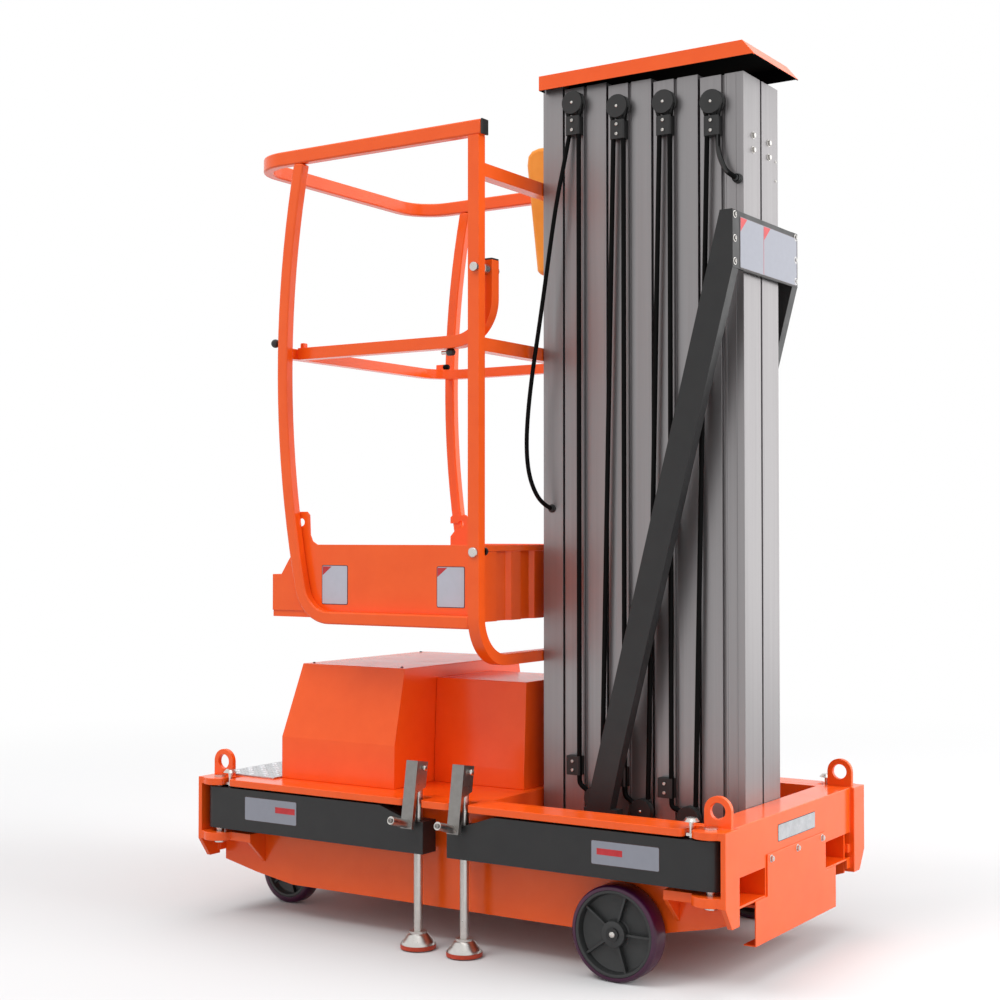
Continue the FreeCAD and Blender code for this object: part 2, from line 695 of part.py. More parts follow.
def pulley_block(j):
    """Top pulley and guide block; below them the cable down to its clamp and round to the bottom pulley."""
    x = pulley_x(j)
    z, clamp_z, low_z = CABLE_ROWS[j]
    run_y = -MAST_HALF_DEPTH - CABLE_OFF
    block_top = z + BLOCK_TOP
    parts = [pulley_disc(x, z), guide_block(x, block_top)]
    for run, sheave_x in ((RUN_RIGHT, 21), (RUN_LEFT, -21)):
        parts.append(round_tube([("line", V(x + run, run_y, block_top - 2), V(x + sheave_x, run_y, z - 4))], CABLE_R - 0.5))
    if j == 4:
        gland = V(603, -MAST_HALF_DEPTH, 1697)
        route = [V(x + RUN_RIGHT, run_y, block_top - BLOCK_HEIGHT), V(x + RUN_RIGHT + 3, run_y - 4, 1752),
                 V(x + 34, run_y - 3, 1713), gland + V(0, -10, 0)]
        parts.append(cord_tube(route, CABLE_R))
        parts.append(cylinder(gland, V(0, -1, 0), 9, 12))
        return fuse(parts)
    low_x = x + LOW_PULLEY_OFFSET
    run_x = x + RUN_RIGHT
    bottom = clamp_z - BLOCK_HEIGHT / 2
    parts.append(cylinder(V(run_x, run_y, bottom), Z_AXIS, CABLE_R, block_top - BLOCK_HEIGHT - bottom))
    parts.append(guide_block(x, clamp_z + BLOCK_HEIGHT / 2))
    parts.append(pulley_disc(low_x, low_z))
    route = [V(run_x, run_y, bottom), V(run_x + 1, run_y, bottom - 20), V(low_x - 19, run_y, low_z + 14),
             V(low_x - 18, run_y, low_z - 2)]
    parts.append(cord_tube(route, CABLE_R))
    return fuse(parts)


def lift_cable(j):
    """Cable run from the bottom pulley of one section up to the guide block of the next."""
    run_y = -MAST_HALF_DEPTH - CABLE_OFF
    low = V(pulley_x(j) + LOW_PULLEY_OFFSET + 16, run_y, CABLE_ROWS[j][2] + PULLEY_R)
    high = V(pulley_x(j + 1) + RUN_LEFT, run_y, CABLE_ROWS[j + 1][0] + BLOCK_TOP - BLOCK_HEIGHT - 1)
    return round_tube([("line", low, high)], CABLE_R)


def mast_cap():
    """Sheet cover on the basket's section: flat top, skirt all round, rear flap bent down."""
    half = 120.5
    top = 1990.0
    skirt = 34.0
    sheet = 2.5
    x0 = 112.0
    bend = 626.0
    roof = box(x0, bend, -half, half, top - sheet, top)
    front = box(x0, x0 + sheet, -half, half, top - skirt, top)
    side = [(x0, top - skirt), (x0, top), (bend, top), (654, top - skirt)]
    near = prism_y(side, -half, -half + sheet)
    far = prism_y(side, half - sheet, half)
    flap = prism_y([(bend, top), (655, top - 35), (653, top - 37), (bend - 2, top - sheet)], -half, half)
    section_top = MAST_FIXED_TOP + 4 * MAST_TOP_STEP
    front = front.cut(box(x0 - 1, x0 + sheet + 1, -96, 96, section_top - 30, section_top))
    stem = box(x0 + sheet, x0 + 45, -60, 60, section_top, top - sheet)
    return fuse([roof, front, near, far, flap, stem])


def mast_braces():
    """Leaning tube each side of the mast and the tie plate that joins them behind it."""
    outline = [(268, 318), (598, 1616), (627, 1616), (627, 1490), (354, 430), (328, 318)]
    near = prism_y(outline, -175, -145)
    tie = box(622, 628, -175, 175, 1491, 1615)
    foot = box(262, 345, -175, -145, 237, 320)
    return fuse([near, foot, mirror_y(near), mirror_y(foot), tie])


# Basket

def basket_hoop():
    """Rear frame of the basket: two posts joined by a rounded bottom, and two cross rails."""
    z_top = TOP_RAIL_Z - TOP_RAIL_HEIGHT / 2
    z_low = 645.0
    points = [V(HOOP_X, -BASKET_HALF, z_top), V(HOOP_X, -BASKET_HALF, z_low), V(HOOP_X, BASKET_HALF, z_low),
              V(HOOP_X, BASKET_HALF, z_top)]
    hoop = rail(rounded_path(points, [100, 100]), X_AXIS, RAIL_DEPTH, RAIL)
    cross = []
    inner = BASKET_HALF - RAIL_DEPTH / 2
    for z in (1345.0, 1732.0):
        cross.append(box(HOOP_X - RAIL / 2, HOOP_X + RAIL / 2, -inner, inner, z - 15, z + 15))
    bolt_hole = cylinder(V(GATE_PIVOT_X, -BASKET_HALF - 20, GATE_PIVOT_Z), Y_AXIS, GATE_BOLT_R, 40)
    return fuse([hoop] + cross).cut(bolt_hole)


def basket_carriage():
    """Two upright plates that bolt the basket's rear frame to the inner mast section."""
    x0 = HOOP_X + RAIL / 2
    return Part.makeCompound([box(x0, MAST_X0, side * 50 - 20, side * 50 + 20, 620, 1760) for side in (-1, 1)])


def top_rail():
    points = [V(TOP_RAIL_END, -BASKET_HALF, TOP_RAIL_Z), V(BASKET_FRONT, -BASKET_HALF, TOP_RAIL_Z),
              V(BASKET_FRONT, BASKET_HALF, TOP_RAIL_Z), V(TOP_RAIL_END, BASKET_HALF, TOP_RAIL_Z)]
    return rail(rounded_path(points, [100, 100]), Z_AXIS, RAIL_DEPTH, TOP_RAIL_HEIGHT)


def bow_x(z):
    """Centre line of the bowed front posts: an arc that is furthest out at mid-height."""
    return BOW_APEX_X + BOW_R - math.sqrt(BOW_R ** 2 - (z - BOW_APEX_Z) ** 2)


def front_bow(side):
    """Bowed front post that turns under the floor and runs back to the rear frame."""
    y = side * BASKET_HALF
    z_top = TOP_RAIL_Z - TOP_RAIL_HEIGHT / 2
    turn_r = 85.0
    z_end = 798.0
    lean = math.asin((BOW_APEX_Z - z_end) / BOW_R)
    end = V(bow_x(z_end), y, z_end)
    centre = end + V(math.cos(lean), 0, math.sin(lean)) * turn_r
    half_turn = (math.pi / 2 - lean) / 2
    middle = centre - V(math.cos(lean + half_turn), 0, math.sin(lean + half_turn)) * turn_r
    last = centre - V(0, 0, turn_r)
    pieces = [
        ("arc", V(bow_x(z_top), y, z_top), V(BOW_APEX_X, y, BOW_APEX_Z), end),
        ("arc", end, middle, last),
        ("line", last, V(HOOP_X - RAIL / 2, y, last.z)),
    ]
    bow = rail(pieces, Y_AXIS, RAIL, RAIL_DEPTH)
    return bow.cut(box(-600, -300, y - 20, y + 20, z_top, z_top + 30))


def front_bows():
    return Part.makeCompound([front_bow(-1), front_bow(1)])


def mid_rail():
    """Middle rail: from the near bow along the front, round the corner and back on the far side."""
    width = 25.0
    x = bow_x(MID_RAIL_Z) - 10
    near_y = -BASKET_HALF + RAIL_DEPTH / 2
    far_y = BASKET_HALF - RAIL_DEPTH / 2 - width / 2 - 17
    points = [V(x, near_y, MID_RAIL_Z), V(x, far_y, MID_RAIL_Z), V(HOOP_X - RAIL / 2, far_y, MID_RAIL_Z)]
    strap = box(x + 10, x + 40, far_y - width, -near_y, MID_RAIL_Z - 10, MID_RAIL_Z + 10)
    return fuse([rail(rounded_path(points, [90]), Z_AXIS, width, width), strap])


def basket_floor():
    """Floor pan inside the toe boards."""
    inner = BASKET_HALF - RAIL_DEPTH / 2 - TOE_SHEET
    back = HOOP_X - RAIL / 2 - TOE_SHEET - CORRUGATION_DEPTH
    return box(TOE_FRONT + TOE_SHEET, back, -inner, inner, FLOOR_TOP - 15, FLOOR_TOP)


def corrugated_outline(back, half):
    """Outline in x and y of the rear board's sheet, stepping in and out across its width."""
    steps = (238.0, 188.0, 138.0, 88.0, 38.0)
    slope = 5.0
    centre = [(back, -half)]
    depth = 0.0
    for y in [-step for step in steps] + list(reversed(steps)):
        centre.append((back - depth, y - slope))
        depth = CORRUGATION_DEPTH - depth
        centre.append((back - depth, y + slope))
    centre.append((back - depth, half))
    return centre + [(x - TOE_SHEET, y) for x, y in reversed(centre)]


def toe_boards():
    """Side boards with a stepped nose and a hooked ear, a front board and a corrugated rear board."""
    outer = BASKET_HALF - RAIL_DEPTH / 2
    z0 = FLOOR_TOP
    back = HOOP_X - RAIL / 2
    side = prism_y([
        (TOE_FRONT, z0), (TOE_FRONT, 831), (-481, 831), (-459, 864), (-453, 872), (-453, 922), (-434, 942),
        (-453, 956), (-453, 974), (-446, 980), (-401, 980), (-393, 972), (-391, 925), (-384, 910), (-370, TOE_TOP),
        (back, TOE_TOP), (back, z0),
    ], -outer, -outer + TOE_SHEET)
    hook = fuse([
        cylinder(V(-418, -outer - 1, 955), Y_AXIS, 9, TOE_SHEET + 2),
        box(-454, -418, -outer - 1, -outer + TOE_SHEET + 1, 944, 957),
    ])
    side = side.cut(hook)
    inner = outer - TOE_SHEET
    front = box(TOE_FRONT, TOE_FRONT + TOE_SHEET, -inner, inner, z0 - 15, 831)
    lip_low = TOE_TOP - 14
    rear = prism_z(corrugated_outline(back, inner), z0 - 15, TOE_TOP - TOE_SHEET)
    lip = box(back, back + TOE_SHEET, -inner, inner, lip_low, TOE_TOP)
    lip_top = box(back - CORRUGATION_DEPTH - TOE_SHEET, back, -inner, inner, TOE_TOP - TOE_SHEET, TOE_TOP)
    return fuse([side, mirror_y(side), front, rear, lip, lip_top])


def control_box():
    """Control box inside the far rail: round-cornered, narrower below."""
    outline = [
        (-135, 1878), (-132, 1902), (-120, 1915), (-100, 1920), (35, 1920), (55, 1915), (66, 1902), (68, 1878),
        (41, 1602), (31, 1590), (-94, 1590), (-104, 1602),
    ]
    return prism_y(outline, 215, BASKET_HALF - RAIL_DEPTH / 2)


def swing_gate():
    """Lift-up bar of the near side, hung from a bolt through the rear post."""
    points = [V(GATE_PIVOT_X, GATE_Y, 1536), V(GATE_PIVOT_X, GATE_Y, MID_RAIL_Z), V(-450, GATE_Y, MID_RAIL_Z)]
    bar = rail(rounded_path(points, [90]), Y_AXIS, GATE_TUBE, GATE_TUBE)
    hole = cylinder(V(GATE_PIVOT_X, GATE_Y - 40, GATE_PIVOT_Z), Y_AXIS, GATE_BOLT_R + RUNNING_CLEARANCE, 80)
    return bar.cut(hole)


def gate_bolt():
    """Bolt and spacer that hold the swing gate on the rear post."""
    head_thick = 8.0
    inside = GATE_Y + GATE_TUBE / 2 + 1
    post_inner = -BASKET_HALF + RAIL_DEPTH / 2
    spacer_length = GATE_Y - GATE_TUBE / 2 - 3 - post_inner
    start = -BASKET_HALF - RAIL_DEPTH / 2 - head_thick
    bolt = cylinder(V(GATE_PIVOT_X, start, GATE_PIVOT_Z), Y_AXIS, GATE_BOLT_R, inside + head_thick - start)
    head = cylinder(V(GATE_PIVOT_X, start, GATE_PIVOT_Z), Y_AXIS, 10, head_thick)
    spacer = cylinder(V(GATE_PIVOT_X, post_inner, GATE_PIVOT_Z), Y_AXIS, 12, spacer_length)
    nut = cylinder(V(GATE_PIVOT_X, inside, GATE_PIVOT_Z), Y_AXIS, 10, head_thick)
    return fuse([bolt, head, spacer, nut])


CORD_R = 5.0
CORD_ROUTE = [
    V(175, -100, 1834), V(171, -112, 1775), V(163, -122, 1700), V(151, -128, 1610), V(137, -131, 1510),
    V(125, -138, 1410), V(115, -150, 1310), V(99, -146, 1215), V(96, -150, 1130), V(101, -148, 1065),
    V(113, -136, 1018), V(126, -118, 993), V(131, -97, 986),
]


def control_cord():
    return cord_tube(CORD_ROUTE, CORD_R)


nodes = {
    "side_frame_near": side_frame,
    "side_frame_far": lambda: mirror_y(side_frame()),
    "skirt_near": skirt,
    "skirt_far": lambda: mirror_y(skirt()),
    "end_channel": end_channel,
    "chassis_decks": chassis_decks,
    "belly_tray": belly_tray,
    "step_plate": step_plate,
    "battery_cover": battery_cover,
    "drive_cover": drive_cover,
    "power_pack": power_pack,
    "end_cover": end_cover,
    "corner_pins": corner_pins,
    "mast_braces": mast_braces,
    "mast_cap": mast_cap,
    "basket_hoop": basket_hoop,
    "basket_carriage": basket_carriage,
    "top_rail": top_rail,
    "front_bows": front_bows,
    "mid_rail": mid_rail,
    "basket_floor": basket_floor,
    "toe_boards": toe_boards,
    "control_box": control_box,
    "gate_bolt": gate_bolt,
    "swing_gate": swing_gate,
    "control_cord": control_cord,
    "rear_axles": rear_axles,
}

for index in range(5):
    nodes["mast_section_%d" % (index + 1)] = lambda index=index: mast_section(index)
for index in range(1, 5):
    nodes["pulley_block_%d" % index] = lambda index=index: pulley_block(index)
for index in range(1, 4):
    nodes["lift_cable_%d" % index] = lambda index=index: lift_cable(index)

for name, side in (("near", -1), ("far", 1)):
    rear_centre = V(REAR_WHEEL_X, side * REAR_WHEEL_Y, WHEEL_R)
    caster_centre = V(CASTER_WHEEL_X, side * CASTER_WHEEL_Y, CASTER_WHEEL_R)
    nodes["rear_hub_" + name] = lambda c=rear_centre: wheel_hub(c, WHEEL_HUB_R, WHEEL_WIDTH)
    nodes["rear_tread_" + name] = lambda c=rear_centre: wheel_tread(c, WHEEL_R, WHEEL_HUB_R, WHEEL_WIDTH)
    nodes["caster_hub_" + name] = lambda c=caster_centre: wheel_hub(c, CASTER_HUB_R, CASTER_WHEEL_WIDTH)
    nodes["caster_tread_" + name] = lambda c=caster_centre: wheel_tread(
        c, CASTER_WHEEL_R, CASTER_HUB_R, CASTER_WHEEL_WIDTH)
    nodes["caster_fork_" + name] = lambda side=side: caster_fork(side)


def at_corner(shape, end, side):
    """A piece made at the near +X corner, moved to the corner that is asked for."""
    if end == "front":
        shape = mirror_x(shape)
    if side == "far":
        shape = mirror_y(shape)
    return shape


for end in ("front", "rear"):
    for side in ("near", "far"):
        corner = end + "_" + side
        nodes["outrigger_" + corner] = lambda e=end, s=side: at_corner(outrigger_arm(), e, s)
        nodes["jack_" + corner] = lambda e=end, s=side: at_corner(jack_screw(), e, s)

os.makedirs("parts", exist_ok=True)
for name, make in nodes.items():
    shape = make()
    bad = [s for s in shape.Solids if not s.isValid()]
    print(name, len(shape.Solids), "solid", round(shape.Volume / 1e6, 3), "litres", "INVALID" if bad else "")
    shape.exportStep("parts/" + name + ".step")
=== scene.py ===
# %% [markdown]
# A mast lift, dressed for a studio picture
#
# The lift arrives as a fixed frame: every solid already has its real size and stands at its real place,
# in metres, with the origin on the floor under the middle of the base. This lesson adds what a picture
# needs on top of that frame: rounded edges, finishes, screws, labels, cables and light.

# %% Load the frame
import json
import math
import bmesh
import bpy
from mathutils import Matrix, Vector
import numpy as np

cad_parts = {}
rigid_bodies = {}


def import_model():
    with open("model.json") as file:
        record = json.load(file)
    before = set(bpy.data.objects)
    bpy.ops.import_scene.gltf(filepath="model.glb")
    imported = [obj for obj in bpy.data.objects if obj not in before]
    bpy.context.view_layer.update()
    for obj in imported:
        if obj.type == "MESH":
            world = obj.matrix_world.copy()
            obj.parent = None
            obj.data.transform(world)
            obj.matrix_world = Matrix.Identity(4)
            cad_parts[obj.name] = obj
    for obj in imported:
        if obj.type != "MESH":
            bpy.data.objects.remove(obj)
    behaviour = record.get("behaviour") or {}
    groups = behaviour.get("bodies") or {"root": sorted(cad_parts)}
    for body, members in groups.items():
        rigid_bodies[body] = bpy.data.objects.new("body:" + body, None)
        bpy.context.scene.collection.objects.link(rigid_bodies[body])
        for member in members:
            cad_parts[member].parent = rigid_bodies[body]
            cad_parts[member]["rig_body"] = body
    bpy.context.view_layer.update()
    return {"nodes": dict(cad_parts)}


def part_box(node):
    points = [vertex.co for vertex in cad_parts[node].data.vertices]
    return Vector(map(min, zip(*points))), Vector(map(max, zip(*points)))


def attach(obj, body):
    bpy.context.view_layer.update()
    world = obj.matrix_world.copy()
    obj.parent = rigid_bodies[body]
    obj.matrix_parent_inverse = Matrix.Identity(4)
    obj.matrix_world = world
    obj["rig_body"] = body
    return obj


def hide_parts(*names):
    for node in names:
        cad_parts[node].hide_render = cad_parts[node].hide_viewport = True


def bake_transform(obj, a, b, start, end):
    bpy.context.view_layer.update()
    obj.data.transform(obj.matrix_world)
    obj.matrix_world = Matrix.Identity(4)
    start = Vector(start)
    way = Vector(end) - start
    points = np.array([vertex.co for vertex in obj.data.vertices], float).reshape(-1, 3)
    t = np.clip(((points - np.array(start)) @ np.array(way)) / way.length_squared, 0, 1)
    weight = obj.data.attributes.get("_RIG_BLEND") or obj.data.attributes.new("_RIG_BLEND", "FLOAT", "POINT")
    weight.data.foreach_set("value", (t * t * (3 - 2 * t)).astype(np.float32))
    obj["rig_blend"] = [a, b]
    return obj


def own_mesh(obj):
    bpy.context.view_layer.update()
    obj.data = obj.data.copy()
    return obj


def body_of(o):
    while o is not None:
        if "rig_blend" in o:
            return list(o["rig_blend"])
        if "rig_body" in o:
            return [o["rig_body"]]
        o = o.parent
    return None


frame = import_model()

# %% [markdown]
# The camera
#
# A camera is matched to a photograph by its place, its direction and its lens. Here the place and angle
# were solved from corners of the base whose real positions are known. The frame is square, so a sensor
# 36 mm wide gives the lens length from the focal length in pixels.

# %% Set up the camera
PICTURE_SIZE = 1000
FOCAL_PIXELS = 1618.5
SENSOR_MM = 36.0
CAMERA_PLACE = (2.0795, -3.3006, 0.9185)
CAMERA_TURN_DEG = 33.12
CAMERA_TILT_DEG = 1.33

camera_data = bpy.data.cameras.new("camera")
camera_data.sensor_width = SENSOR_MM
camera_data.lens = FOCAL_PIXELS * SENSOR_MM / PICTURE_SIZE
camera = bpy.data.objects.new("camera", camera_data)
camera.location = CAMERA_PLACE
camera.rotation_euler = (math.radians(90 + CAMERA_TILT_DEG), 0, math.radians(CAMERA_TURN_DEG))
bpy.context.collection.objects.link(camera)
bpy.context.scene.camera = camera
print("lens", round(camera_data.lens, 2), "mm")

# %% [markdown]
# The slack control cord
#
# The cord to the basket's control box hangs from the first guide block and curves back into the mast. It
# is one smooth spline: each point below pulls the line towards itself, as weights would on a real cord.
# The same spline without thickness gives the line along the middle of the cord, which is its length too.
# One end moves with the guide block and the other with the section that carries the basket, so the cord
# is blended between the two bodies.

# %% Draw the cord
CORD_RADIUS = 0.005
STEPS_ALONG = 10
STEPS_ROUND = 4
CORD_POINTS = [
    (0.185, -0.1035, 1.848), (0.176, -0.1105, 1.785), (0.163, -0.122, 1.700), (0.151, -0.128, 1.610),
    (0.137, -0.131, 1.510), (0.125, -0.138, 1.410), (0.115, -0.150, 1.310), (0.099, -0.146, 1.215),
    (0.096, -0.150, 1.130), (0.101, -0.148, 1.065), (0.113, -0.136, 1.018), (0.126, -0.118, 0.993),
    (0.131, -0.097, 0.986),
]


def smooth_curve(name, points, radius):
    """A curve through space, pulled towards points, as thick as radius says."""
    data = bpy.data.curves.new(name, "CURVE")
    data.dimensions = "3D"
    data.resolution_u = STEPS_ALONG
    data.bevel_depth = radius
    data.bevel_resolution = STEPS_ROUND
    spline = data.splines.new("NURBS")
    spline.points.add(len(points) - 1)
    for point, place in zip(spline.points, points):
        point.co = (*place, 1.0)
    spline.order_u = 3
    spline.use_endpoint_u = True
    return data


def curve_mesh(name, points, radius):
    """The same curve as a mesh."""
    data = smooth_curve(name, points, radius)
    holder = bpy.data.objects.new(name, data)
    mesh = bpy.data.meshes.new_from_object(holder)
    bpy.data.objects.remove(holder)
    mesh.name = name
    return mesh


def curve_line(points):
    """Places along the middle of the curve, in order."""
    return [vertex.co.copy() for vertex in curve_mesh("line", points, 0).vertices]


cord_line = curve_line(CORD_POINTS)

control_cord = bpy.data.objects.new("slack_cord", curve_mesh("slack_cord", CORD_POINTS, CORD_RADIUS))
bpy.context.collection.objects.link(control_cord)
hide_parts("control_cord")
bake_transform(control_cord, "mast_stage_2", "platform", start=CORD_POINTS[0], end=CORD_POINTS[-1])

# %% [markdown]
# Studio floor and light
#
# The picture has a white ground that greys a little under the lift. The floor is plain and pale, and far
# from the lift it turns to white for the camera and for reflections, so that no horizon shows. It throws
# back less light than it shows, which keeps the underside as dark as it is in a real studio. Broad, soft
# lamps stand for softboxes. The one on the right and the one behind it make the faces on that side the
# bright ones. Two lamps would show as a glare in the flat mast, so they light without being mirrored. The
# upper two hang above the reach of the raised mast, because a lamp beside its sections would cut the light
# on them in two.

# %% Write the node helpers
def hex_colour(code):
    """An sRGB hex value as the linear colour that shaders use."""
    channels = [int(code[i:i + 2], 16) / 255 for i in (1, 3, 5)]
    linear = [c / 12.92 if c <= 0.04045 else ((c + 0.055) / 1.055) ** 2.4 for c in channels]
    return (*linear, 1.0)


def add(tree, kind, sockets=None, **settings):
    """Add a node. A socket's value is a plain value, or a (node, output name) pair to link."""
    node = tree.nodes.new(kind)
    for name, value in settings.items():
        setattr(node, name, value)
    for name, value in (sockets or {}).items():
        if isinstance(value, tuple) and isinstance(value[0], bpy.types.Node):
            tree.links.new(value[0].outputs[value[1]], node.inputs[name])
        else:
            node.inputs[name].default_value = value
    return node


def showing(tree):
    """A value of 1 on the rays in which a background shows: seen, mirrored or passed through."""
    ray = add(tree, "ShaderNodeLightPath")
    direct = add(tree, "ShaderNodeMath", {0: (ray, "Is Camera Ray"), 1: (ray, "Is Glossy Ray")},
                 operation="MAXIMUM")
    return add(tree, "ShaderNodeMath", {0: (direct, "Value"), 1: (ray, "Is Transmission Ray")},
               operation="MAXIMUM")


# %% Lay the floor
FLOOR_HALF = 30.0
FADE_START = 1.6
FADE_END = 5.0
FLOOR_SEEN = "#d6d6d6"
FLOOR_BOUNCE = "#aeaeae"
WHITE = "#ffffff"

floor_finish = bpy.data.materials.new("studio_floor")
floor_finish.use_nodes = True
tree = floor_finish.node_tree
tree.nodes.clear()
place = add(tree, "ShaderNodeTexCoord")
reach = add(tree, "ShaderNodeVectorMath", {0: (place, "Object")}, operation="LENGTH")
fade = add(tree, "ShaderNodeMapRange",
           {"Value": (reach, "Value"), "From Min": FADE_START, "From Max": FADE_END},
           interpolation_type="SMOOTHSTEP")
seen = showing(tree)
share = add(tree, "ShaderNodeMath", {0: (seen, "Value"), 1: (fade, "Result")}, operation="MULTIPLY")
pale = add(tree, "ShaderNodeMix",
           {"Factor": (seen, "Value"), "A": hex_colour(FLOOR_BOUNCE), "B": hex_colour(FLOOR_SEEN)},
           data_type="RGBA")
paint = add(tree, "ShaderNodeBsdfDiffuse", {"Color": (pale, "Result"), "Roughness": 0.4})
glow = add(tree, "ShaderNodeEmission", {"Color": hex_colour(WHITE), "Strength": 1.0})
ground = add(tree, "ShaderNodeMixShader", {0: (share, "Value"), 1: (paint, "BSDF"), 2: (glow, "Emission")})
add(tree, "ShaderNodeOutputMaterial", {"Surface": (ground, "Shader")})

floor_mesh = bpy.data.meshes.new("floor")
floor_mesh.from_pydata(
    [(-FLOOR_HALF, -FLOOR_HALF, 0), (FLOOR_HALF, -FLOOR_HALF, 0), (FLOOR_HALF, FLOOR_HALF, 0),
     (-FLOOR_HALF, FLOOR_HALF, 0)], [], [(0, 1, 2, 3)])
floor_mesh.materials.append(floor_finish)
floor = bpy.data.objects.new("floor", floor_mesh)
bpy.context.collection.objects.link(floor)
print("floor", 2 * FLOOR_HALF, "m wide, white beyond", FADE_END, "m")

# %% Light the room
ROOM_TINT = "#f4f5f7"
ROOM_STRENGTH = 0.8

world = bpy.data.worlds.new("studio")
bpy.context.scene.world = world
world.use_nodes = True
tree = world.node_tree
tree.nodes.clear()
seen = showing(tree)
room = add(tree, "ShaderNodeBackground", {"Color": hex_colour(ROOM_TINT), "Strength": ROOM_STRENGTH})
white = add(tree, "ShaderNodeBackground", {"Color": hex_colour(WHITE), "Strength": 1.0})
sky = add(tree, "ShaderNodeMixShader",
          {0: (seen, "Value"), 1: (room, "Background"), 2: (white, "Background")})
add(tree, "ShaderNodeOutputWorld", {"Surface": (sky, "Shader")})


def softbox(name, place, aim, size, watts, mirrored=True):
    """A square lamp at place that shines towards aim. It shows in glossy surfaces if mirrored is set."""
    data = bpy.data.lights.new(name, "AREA")
    data.size = size
    data.energy = watts
    lamp = bpy.data.objects.new(name, data)
    lamp.location = place
    lamp.rotation_euler = (Vector(aim) - Vector(place)).to_track_quat("-Z", "Y").to_euler()
    lamp.visible_glossy = mirrored
    bpy.context.collection.objects.link(lamp)
    print(name, watts, "W")


softbox("right_softbox", (4.6, 0.9, 2.6), aim=(0.3, 0, 0.9), size=2.6, watts=165, mirrored=False)
softbox("back_softbox", (2.8, 4.6, 1.7), aim=(0.3, 0, 0.9), size=3.4, watts=38)
softbox("overhead_softbox", (0.4, 0.8, 9.5), aim=(0.1, 0, 0.6), size=7.0, watts=305)
softbox("front_softbox", (-2.8, -6.1, 10.0), aim=(0, 0, 0.6), size=4.7, watts=510, mirrored=False)

bpy.context.scene.view_settings.view_transform = "Standard"

# %% [markdown]
# Finishes
#
# Each finish starts from what the real surface is and how it was made. All of them are one shader with a
# few patterns on it: a mottle of two close shades, a grain that tilts the light, and a gloss that wanders.
# Patterns are sized in real millimetres, measured in the piece's own metres, so that they stay the same
# size on a screw and on the mast. A picture could not do that without being unwrapped onto every piece.

# %% Start a finish
MM = 0.001


def new_finish(name, colour, roughness, metallic=0.0, ior=1.5, coat=0.0):
    """A material with one principled shader. Returns it with its tree and shader for more nodes."""
    finish = bpy.data.materials.new(name)
    finish.use_nodes = True
    tree = finish.node_tree
    tree.nodes.clear()
    shader = add(tree, "ShaderNodeBsdfPrincipled", {
        "Base Color": hex_colour(colour), "Roughness": roughness, "Metallic": metallic, "IOR": ior,
        "Coat Weight": coat,
    })
    add(tree, "ShaderNodeOutputMaterial", {"Surface": (shader, "BSDF")})
    return finish, tree, shader


EVEN = (1, 1, 1)
CLOUD_LOW = 0.3
CLOUD_HIGH = 0.7


def own_place(tree, stretch):
    """Places in the piece's own metres, multiplied along each axis by stretch."""
    place = add(tree, "ShaderNodeTexCoord")
    return add(tree, "ShaderNodeMapping", {"Vector": (place, "Object"), "Scale": stretch})


def mottle(tree, shader, light, dark, size_mm, stretch=EVEN, detail=3.0):
    """Vary the base colour between two close shades in patches of about size_mm."""
    scaled = own_place(tree, stretch)
    cloud = add(tree, "ShaderNodeTexNoise", {
        "Vector": (scaled, "Vector"), "Scale": 1 / (size_mm * MM), "Detail": detail, "Roughness": 0.6})
    ramp = add(tree, "ShaderNodeMapRange",
               {"Value": (cloud, "Fac"), "From Min": CLOUD_LOW, "From Max": CLOUD_HIGH})
    mix = add(tree, "ShaderNodeMix",
              {"Factor": (ramp, "Result"), "A": hex_colour(dark), "B": hex_colour(light)}, data_type="RGBA")
    tree.links.new(mix.outputs["Result"], shader.inputs["Base Color"])


def grain(tree, shader, size_mm, height_mm, stretch=EVEN, strength=0.5):
    """Raise a fine noise of about size_mm by height_mm."""
    scaled = own_place(tree, stretch)
    noise = add(tree, "ShaderNodeTexNoise", {
        "Vector": (scaled, "Vector"), "Scale": 1 / (size_mm * MM), "Detail": 2.0})
    bump = add(tree, "ShaderNodeBump", {
        "Height": (noise, "Fac"), "Distance": height_mm * MM, "Strength": strength})
    tree.links.new(bump.outputs["Normal"], shader.inputs["Normal"])


def uneven_gloss(tree, shader, low, high, size_mm, stretch=EVEN):
    """Let the roughness wander between low and high in patches of about size_mm."""
    scaled = own_place(tree, stretch)
    cloud = add(tree, "ShaderNodeTexNoise", {
        "Vector": (scaled, "Vector"), "Scale": 1 / (size_mm * MM), "Detail": 4.0})
    gloss = add(tree, "ShaderNodeMapRange", {
        "Value": (cloud, "Fac"), "From Min": CLOUD_LOW, "From Max": CLOUD_HIGH, "To Min": low,
        "To Max": high})
    tree.links.new(gloss.outputs["Result"], shader.inputs["Roughness"])


# %% [markdown]
# The painted steel
#
# Powder coat is polyester dust that melts into a skin in an oven. The skin has a peel of 1 to 2 mm, drawn
# here at 2.5 mm so that it shows. It is satin: the eye gets broad, soft highlights and a little of the white
# room at low angles. The frame, covers and basket are orange. The arms and braces have the same coat in
# graphite, which is rougher and looks flat. Noise does it all, because the paint has no pattern.

# %% Mix the powder coats
powder_orange, tree, shader = new_finish("powder_coat_orange", "#fa5e16", 0.24, ior=1.45)
mottle(tree, shader, "#fc6019", "#f75a13", 70, detail=6.0)
grain(tree, shader, 2.5, 0.012, strength=0.25)
uneven_gloss(tree, shader, 0.19, 0.24, 60)

powder_graphite, tree, shader = new_finish("powder_coat_graphite", "#222222", 0.42, ior=1.45)
mottle(tree, shader, "#242424", "#1f1f20", 60, detail=6.0)
grain(tree, shader, 2.5, 0.03, strength=0.25)
uneven_gloss(tree, shader, 0.37, 0.47, 40)
print("coats", powder_orange.name, powder_graphite.name)

